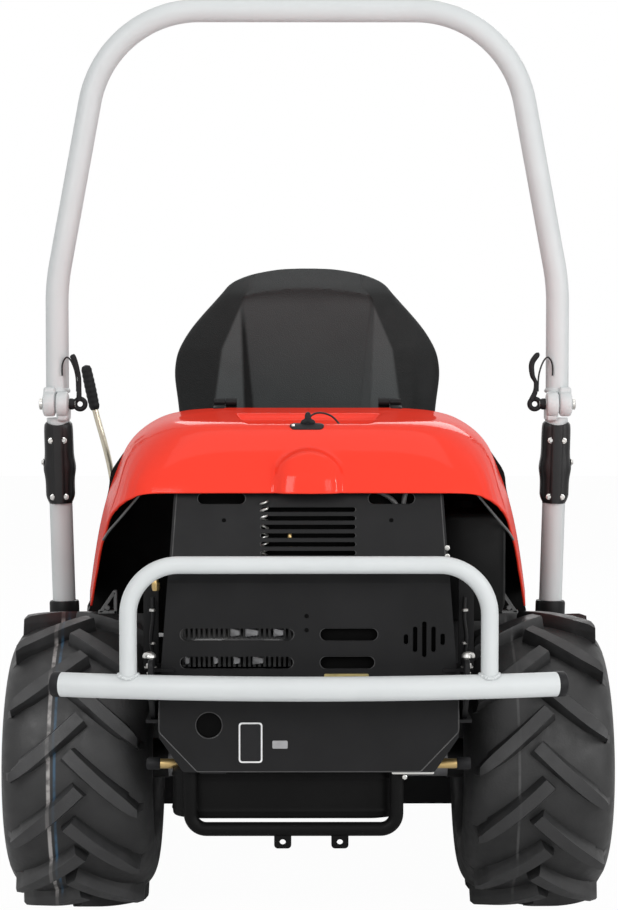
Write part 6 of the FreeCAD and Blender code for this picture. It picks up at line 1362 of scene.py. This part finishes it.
def make_under_details():
    """Pins on the rails' rear ends, the silencer's beaded shell and a bracket on it."""
    pin_axis = (0, -0.85, 0.302)
    pin = lathe([(0.203, 0.0072), (0.205, 0.008), (0.2375, 0.008)], "X", pin_axis, 28)
    Shape().tube(both_hands(pin)).piece("rail_pins", "chassis", "zinc_steel", "brass")
    knob = lathe([(0.237, 0.0092), (0.2395, 0.01), (0.256, 0.01), (0.259, 0.0084)], "X", pin_axis,
                 28)
    Shape().tube(both_hands(knob)).piece("rail_pin_knobs", "chassis", "black_plastic")
    low, high = (np.array(c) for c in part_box("silencer_box"))
    corner = [(low[0], low[1]), (high[0], low[1]), (high[0], high[1]), (low[0], high[1])]
    rows = []
    centre = (low + high)[:2] / 2
    for t in np.linspace(0, 1, 41):
        bead = 0.0016 * (math.exp(-((t - 0.16) / 0.03) ** 2) + math.exp(-((t - 0.84) / 0.03) ** 2))
        soft = 0.012 * (1 - math.sqrt(max(0.0, 1 - abs(2 * t - 1) ** 24)))
        outline = rounded(corner, 0.04, 12)
        unit = outline - centre
        unit /= np.hypot(*unit.T)[:, None]
        flat = outline + unit * (bead - soft - 0.0012)
        rows.append(np.column_stack([flat, np.full(len(flat), low[2] + (high[2] - low[2]) * t)]))
    Shape().solid(np.stack(rows)).piece("silencer_shell", "chassis", "black_paint", "deep_black",
                                        replaces=["silencer_box"], smooth=45)
    bracket = Shape().solid(plate(0.13, 0.196, 0.2995, 0.309, 0.002, -0.9262, -0.9246, "XZ",
                                  steps=4))
    fasteners(bracket, [(0.15, -0.9262, 0.295)], "-Y", 0.004, 0.003)
    bracket.piece("under_bracket", "chassis", "zinc_steel")


def make_skirt_rests():
    """Small gussets where the hood's skirts rest."""
    cast = Shape()
    for side in (-1, 1):
        for outline in ([(0.32, 0.5205), (0.352, 0.5205), (0.352, 0.5265), (0.32, 0.5265)],
                        [(0.32, 0.5205), (0.326, 0.5205), (0.326, 0.56), (0.32, 0.56)],
                        [(0.322, 0.556), (0.346, 0.522), (0.352, 0.522), (0.326, 0.561)]):
            flat = np.array(outline)[::side] * (side, 1)
            cast.solid(slab(rounded(flat, 0.0015, 4), -0.672, -0.66, "XZ", 0.001))
    fasteners(cast, [(side * 0.336, -0.672, 0.531) for side in (-1, 1)], "-Y", 0.0045, 0.004)
    cast.piece("skirt_rests", "chassis", "cast_metal", "dull_steel")


# ---------------------------------------------------------------- fittings on the other sides

def tilted(points, place, degrees):
    """Points about X turned by some degrees and moved to a place."""
    lean = math.radians(degrees)
    x, y, z = points[..., 0], points[..., 1], points[..., 2]
    return np.stack([x, y * math.cos(lean) - z * math.sin(lean),
                     y * math.sin(lean) + z * math.cos(lean)], -1) + np.asarray(place, float)


# how far out from the hub and what share of the cap's radius; how far out from the disc and radius
HUB_DOME = [(-0.001, 0.0), (-0.001, 1.0), (0.003, 1.0), (0.0075, 0.93), (0.0105, 0.7),
            (0.012, 0.35), (0.0124, 0.0)]
VALVE_STEM = [(-0.001, 0.0), (-0.001, 0.006), (0.005, 0.005), (0.007, 0.0036), (0.026, 0.0032),
              (0.027, 0.004), (0.034, 0.004), (0.035, 0.0)]


def make_wheel_fittings():
    """Five bolts, a domed hub cap and a valve stem on the outer face of every wheel."""
    angle = np.radians(18 + 72 * np.arange(5))
    for side, hand in ((1, "right"), (-1, "left")):
        for end, (y, z), disc, hub, cap in (("rear", REAR_AXLE, 0.3665, 0.382, 0.027),
                                            ("front", FRONT_AXLE, 0.4425, 0.464, 0.023)):
            body = f"{end}_wheel_{hand}"
            places = [(side * disc, y + 0.05 * math.cos(a), z + 0.05 * math.sin(a)) for a in angle]
            bolts = fasteners(Shape(), places, "X" if side > 0 else "-X", 0.01, 0.0085,
                              washer=0.0125)
            bolts.piece(f"{end}_{hand}_wheel_bolts", body, "zinc_steel", smooth=35)
            dome = [(side * (hub + out), cap * share) for out, share in HUB_DOME]
            caps = Shape().tube(turned(dome, "X", (0, y, z), 48))
            stem = [(side * (disc + out), radius) for out, radius in VALVE_STEM]
            caps.tube(turned(stem, "X", (0, y + 0.053, z + 0.073), 20))
            caps.piece(f"{end}_{hand}_hub_cap", body, "black_plastic")


STEERING_CENTRE, STEERING_LEAN = (0.0, 0.3795, 0.8889), 25


def make_steering_fittings():
    """A grip with shallow finger swells round the wheel's rim, a hub cap, and a column boot."""
    turn = np.linspace(0, 2 * np.pi, 288, endpoint=False)[:, None]
    around = np.linspace(0, 2 * np.pi, 16, endpoint=False)[None, :]
    thick = 0.014 + 0.0008 * np.cos(36 * turn)
    reach = 0.165 + thick * np.cos(around)
    grip = np.stack([reach * np.cos(turn), reach * np.sin(turn),
                     thick * np.sin(around) + 0 * turn], 2)
    shape = Shape().loop(tilted(grip, STEERING_CENTRE, STEERING_LEAN))
    dome = turned([(0.007, 0.0), (0.007, 0.033), (0.01, 0.0335), (0.014, 0.0315), (0.017, 0.025),
                   (0.0185, 0.015), (0.019, 0.0)], "Z", (0, 0, 0), 64)
    shape.tube(tilted(dome, STEERING_CENTRE, STEERING_LEAN))
    shape.piece("steering_grip", "steering_wheel", "black_plastic")
    level = np.linspace(0, 1, 41)
    folds = np.stack([-0.24 + 0.062 * level,
                      0.0345 - 0.0085 * level + 0.0026 * np.cos(10 * np.pi * level)], 1)
    folds = np.vstack([[(-0.24, 0.0223)], folds, [(-0.178, 0.0223)]])
    boot = Shape().loop(tilted(turned(folds, "Z", (0, 0, 0), 64), STEERING_CENTRE, STEERING_LEAN))
    boot.piece("column_boot", "chassis", "black_plastic")


def make_floor_fittings():
    """Ribbed rubbers on the pedals and raised treads on both foot boards."""
    pads = Shape()
    for x in (-0.33, 0.3, 0.4):
        base = plate(-0.036, 0.036, 0.002, 0.098, 0.006, 0.0075, 0.0115, "XY", 0.001)
        pads.solid(tilted(base, (x, 0.3135, 0.425), 24))
        ribs = [plate(-0.032, 0.032, y, y + 0.006, 0.0015, 0.011, 0.014, "XY", 0.0008,
                      steps=3) for y in np.linspace(0.009, 0.085, 7)]
        pads.solid(tilted(np.array(ribs), (x, 0.3135, 0.425), 24))
    pads.piece("pedal_rubbers", "chassis", "black_plastic", smooth=30)
    treads = [plate(x - 0.004, x + 0.004, 0.105, 0.285, 0.0035, 0.3845, 0.3865, "XY", 0.0006,
                    steps=3) for x in np.linspace(0.25, 0.44, 10)]
    shape = Shape().solid(np.array(treads))
    shape.solid(np.array(treads) * (-1, 1, 1))
    shape.piece("floor_treads", "chassis", "black_plastic", smooth=30)


def make_cover_fittings():
    """Slotted trims and screws on the front cover's flanks, and a blank dash plate."""
    slots = [slab(rounded([(0.5, z), (0.61, z), (0.622, z + 0.01), (0.512, z + 0.01)], 0.004, 4),
                  0.214, 0.2168, "YZ", 0.0009) for z in np.linspace(0.47, 0.59, 6)]
    trim = Shape().solid(np.array(slots))
    trim.solid(np.array(slots) * (-1, 1, 1))
    dash = slab(rounded([(-0.12, 0.53), (0.12, 0.53), (0.105, 0.625), (-0.105, 0.625)], 0.014),
                0.459, 0.4645, "XZ", 0.0015)
    trim.solid(dash)
    for x in (-0.062, 0.062):
        trim.solid(turned([(0.46, 0.0), (0.456, 0.0), (0.455, 0.02), (0.452, 0.0215),
                           (0.452, 0.0245), (0.4545, 0.026), (0.46, 0.0262)], "Y", (x, 0, 0.586),
                          48))
    trim.piece("cover_trims", "chassis", "black_plastic", smooth=35)
    bolts = Shape()
    places = [(0.2145, 0.495, 0.405), (0.2145, 0.615, 0.405)]
    paired_fasteners(bolts, places, 0.006, 0.0045, washer=0.0095)
    fasteners(bolts, [(x, 0.4595, 0.542) for x in (-0.1, 0.1)], "-Y", 0.0032, 0.0025,
              washer=0.0048)
    bolts.piece("cover_bolts", "chassis", "zinc_steel", smooth=35)


def make_seat_box_fittings():
    """A raised panel, hinges and screws on the seat box."""
    panel = plate(-0.085, 0.3, 0.415, 0.56, 0.016, 0.189, 0.1925, "YZ", 0.001)
    shape = Shape().solid(panel)
    shape.solid(panel * (-1, 1, 1))
    for x in (-0.11, 0.11):
        barrel = [(x - 0.025, 0.0), (x - 0.025, 0.005), (x + 0.025, 0.005), (x + 0.025, 0.0)]
        shape.tube(turned(barrel, "X", (0, 0.3525, 0.59), 24))
        leaf = plate(x - 0.024, x + 0.024, 0.545, 0.592, 0.004, 0.348, 0.351, "XZ", 0.0006)
        shape.solid(leaf)
    shape.piece("seat_box_panels", "chassis", "black_paint", smooth=35)
    bolts = Shape()
    places = [(0.1925, y, z) for y in (-0.07, 0.285) for z in (0.43, 0.545)]
    paired_fasteners(bolts, places, 0.005, 0.004, washer=0.008)
    fasteners(bolts, [(x + d, 0.351, 0.556) for x in (-0.11, 0.11) for d in (-0.014, 0.014)], "Y",
              0.004, 0.003)
    bolts.piece("seat_box_bolts", "chassis", "zinc_steel", smooth=35)


def make_deck_fittings():
    """Spindle caps and knobs on the belt cover, and the rotors' centre bolts."""
    caps = Shape()
    for x in (-0.245, 0.245):
        caps.tube(turned([(0.248, 0.0), (0.248, 0.033), (0.252, 0.0325), (0.256, 0.027),
                          (0.2575, 0.015), (0.258, 0.0)], "Z", (x, 0.094, 0), 48))
    for x in (-0.192, 0.192):
        for y in (0.05, 0.138):
            caps.tube(turned([(0.248, 0.0), (0.248, 0.005), (0.254, 0.005), (0.2545, 0.012),
                              (0.26, 0.0125), (0.264, 0.01), (0.265, 0.0)], "Z", (x, y, 0), 24))
    caps.piece("belt_cover_knobs", "mower_deck", "black_plastic")
    for x, hand in ((0.245, "right"), (-0.245, "left")):
        shape = fasteners(Shape(), [(x, 0.094, 0.1125)], "-Z", 0.015, 0.0095, washer=0.023)
        shape.piece(f"rotor_bolt_{hand}", f"rotor_{hand}", "zinc_steel", smooth=35)
    bolts = Shape()
    places = [(x, y, 0.2145) for x in (-0.42, 0.42) for y in (-0.12, 0.094, 0.305)]
    fasteners(bolts, places, "Z", 0.0075, 0.006, washer=0.012)
    bolts.piece("deck_bolts", "mower_deck", "zinc_steel", smooth=35)


# ---------------------------------------------------------------- camera, light and floor

def make_camera():
    """Behind the machine at chest height, aimed at its middle line."""
    data = bpy.data.cameras.new("camera")
    data.lens = 86.24
    data.clip_start = 0.1
    data.clip_end = 60
    camera = bpy.data.objects.new("camera", data)
    bpy.context.scene.collection.objects.link(camera)
    camera.location = (-0.013, -4.308, 0.968)
    pitch = 2.85
    yaw = -0.225
    camera.rotation_euler = (math.radians(90 - pitch), 0, math.radians(yaw))
    bpy.context.scene.camera = camera


def area_light(name, place, target, size, power):
    """A white rectangular lamp that faces its target."""
    data = bpy.data.lights.new(name, "AREA")
    data.shape = "RECTANGLE"
    data.size, data.size_y = size
    data.energy = power
    lamp = bpy.data.objects.new(name, data)
    bpy.context.scene.collection.objects.link(lamp)
    lamp.location = place
    aim = Vector(target) - Vector(place)
    lamp.rotation_euler = aim.to_track_quat("-Z", "Y").to_euler()


def make_stage():
    """A white world seen by the camera, softer light on the object, and a pale floor."""
    world = bpy.data.worlds.new("studio")
    bpy.context.scene.world = world
    world.use_nodes = True
    nodes, links = world.node_tree.nodes, world.node_tree.links
    background = nodes["Background"]
    rays = nodes.new("ShaderNodeLightPath")
    seen = nodes.new("ShaderNodeMath")
    seen.operation = "MAXIMUM"
    links.new(rays.outputs["Is Camera Ray"], seen.inputs[0])
    links.new(rays.outputs["Is Glossy Ray"], seen.inputs[1])
    seen_too = nodes.new("ShaderNodeMath")
    seen_too.operation = "MAXIMUM"
    links.new(seen.outputs[0], seen_too.inputs[0])
    links.new(rays.outputs["Is Transmission Ray"], seen_too.inputs[1])
    strength = nodes.new("ShaderNodeMapRange")
    strength.inputs["To Min"].default_value = 0.32
    strength.inputs["To Max"].default_value = 1.0
    links.new(seen_too.outputs[0], strength.inputs["Value"])
    links.new(strength.outputs[0], background.inputs["Strength"])
    background.inputs["Color"].default_value = (1, 1, 1, 1)
    area_light("key", (-1.8, -4.5, 2.6), (0, -0.3, 0.7), (1.6, 1.6), 70)
    area_light("fill", (2.0, -4.6, 1.8), (0, -0.3, 0.7), (1.4, 1.8), 38)
    area_light("side", (2.8, -2.3, 1.5), (0, -0.8, 0.8), (0.16, 1.3), 26)
    area_light("top", (0.0, -0.9, 4.0), (0, -0.2, 0.8), (3.0, 2.4), 26)
    area_light("front", (0.5, 4.2, 3.0), (0, 0.2, 0.6), (3.0, 2.0), 70)
    mesh = bpy.data.meshes.new("floor")
    reach = 12.0
    mesh.from_pydata([(-reach, -reach, 0), (reach, -reach, 0), (reach, reach, 0),
                      (-reach, reach, 0)], [], [(0, 1, 2, 3)])
    floor = bpy.data.objects.new("floor", mesh)
    bpy.context.scene.collection.objects.link(floor)
    look = Finish("floor_paper", (0.94, 0.94, 0.94), 0.9)
    mesh.materials.append(look.done())
    tree = look.tree
    glow = look.add("ShaderNodeEmission")
    glow.inputs["Color"].default_value = (1, 1, 1, 1)
    path = look.add("ShaderNodeLightPath")
    blend = look.add("ShaderNodeMixShader")
    share = look.between(path.outputs["Is Camera Ray"], 0, 1, 0.0, 0.975)
    look.link(share, blend.inputs[0])
    look.link(look.shader.outputs[0], blend.inputs[1])
    look.link(glow.outputs[0], blend.inputs[2])
    look.link(blend.outputs[0], tree.nodes["Material Output"].inputs[0])
    bpy.context.scene.view_settings.view_transform = "Standard"


for make in (make_camera, dress_nodes, make_cords, make_tyres, make_seat_back, make_seat_cushion,
             make_hood, make_hood_fittings, make_frame, make_clamps, make_fold_pins, make_sockets,
             make_lever, make_panel_fittings, make_louvre_lips, make_engine_details, make_linkage,
             make_rear_bumper, make_bumper_details, make_tank_details, make_under_details,
             make_skirt_rests, make_wheel_fittings, make_steering_fittings, make_floor_fittings,
             make_cover_fittings, make_seat_box_fittings, make_deck_fittings, make_stage):
    make()
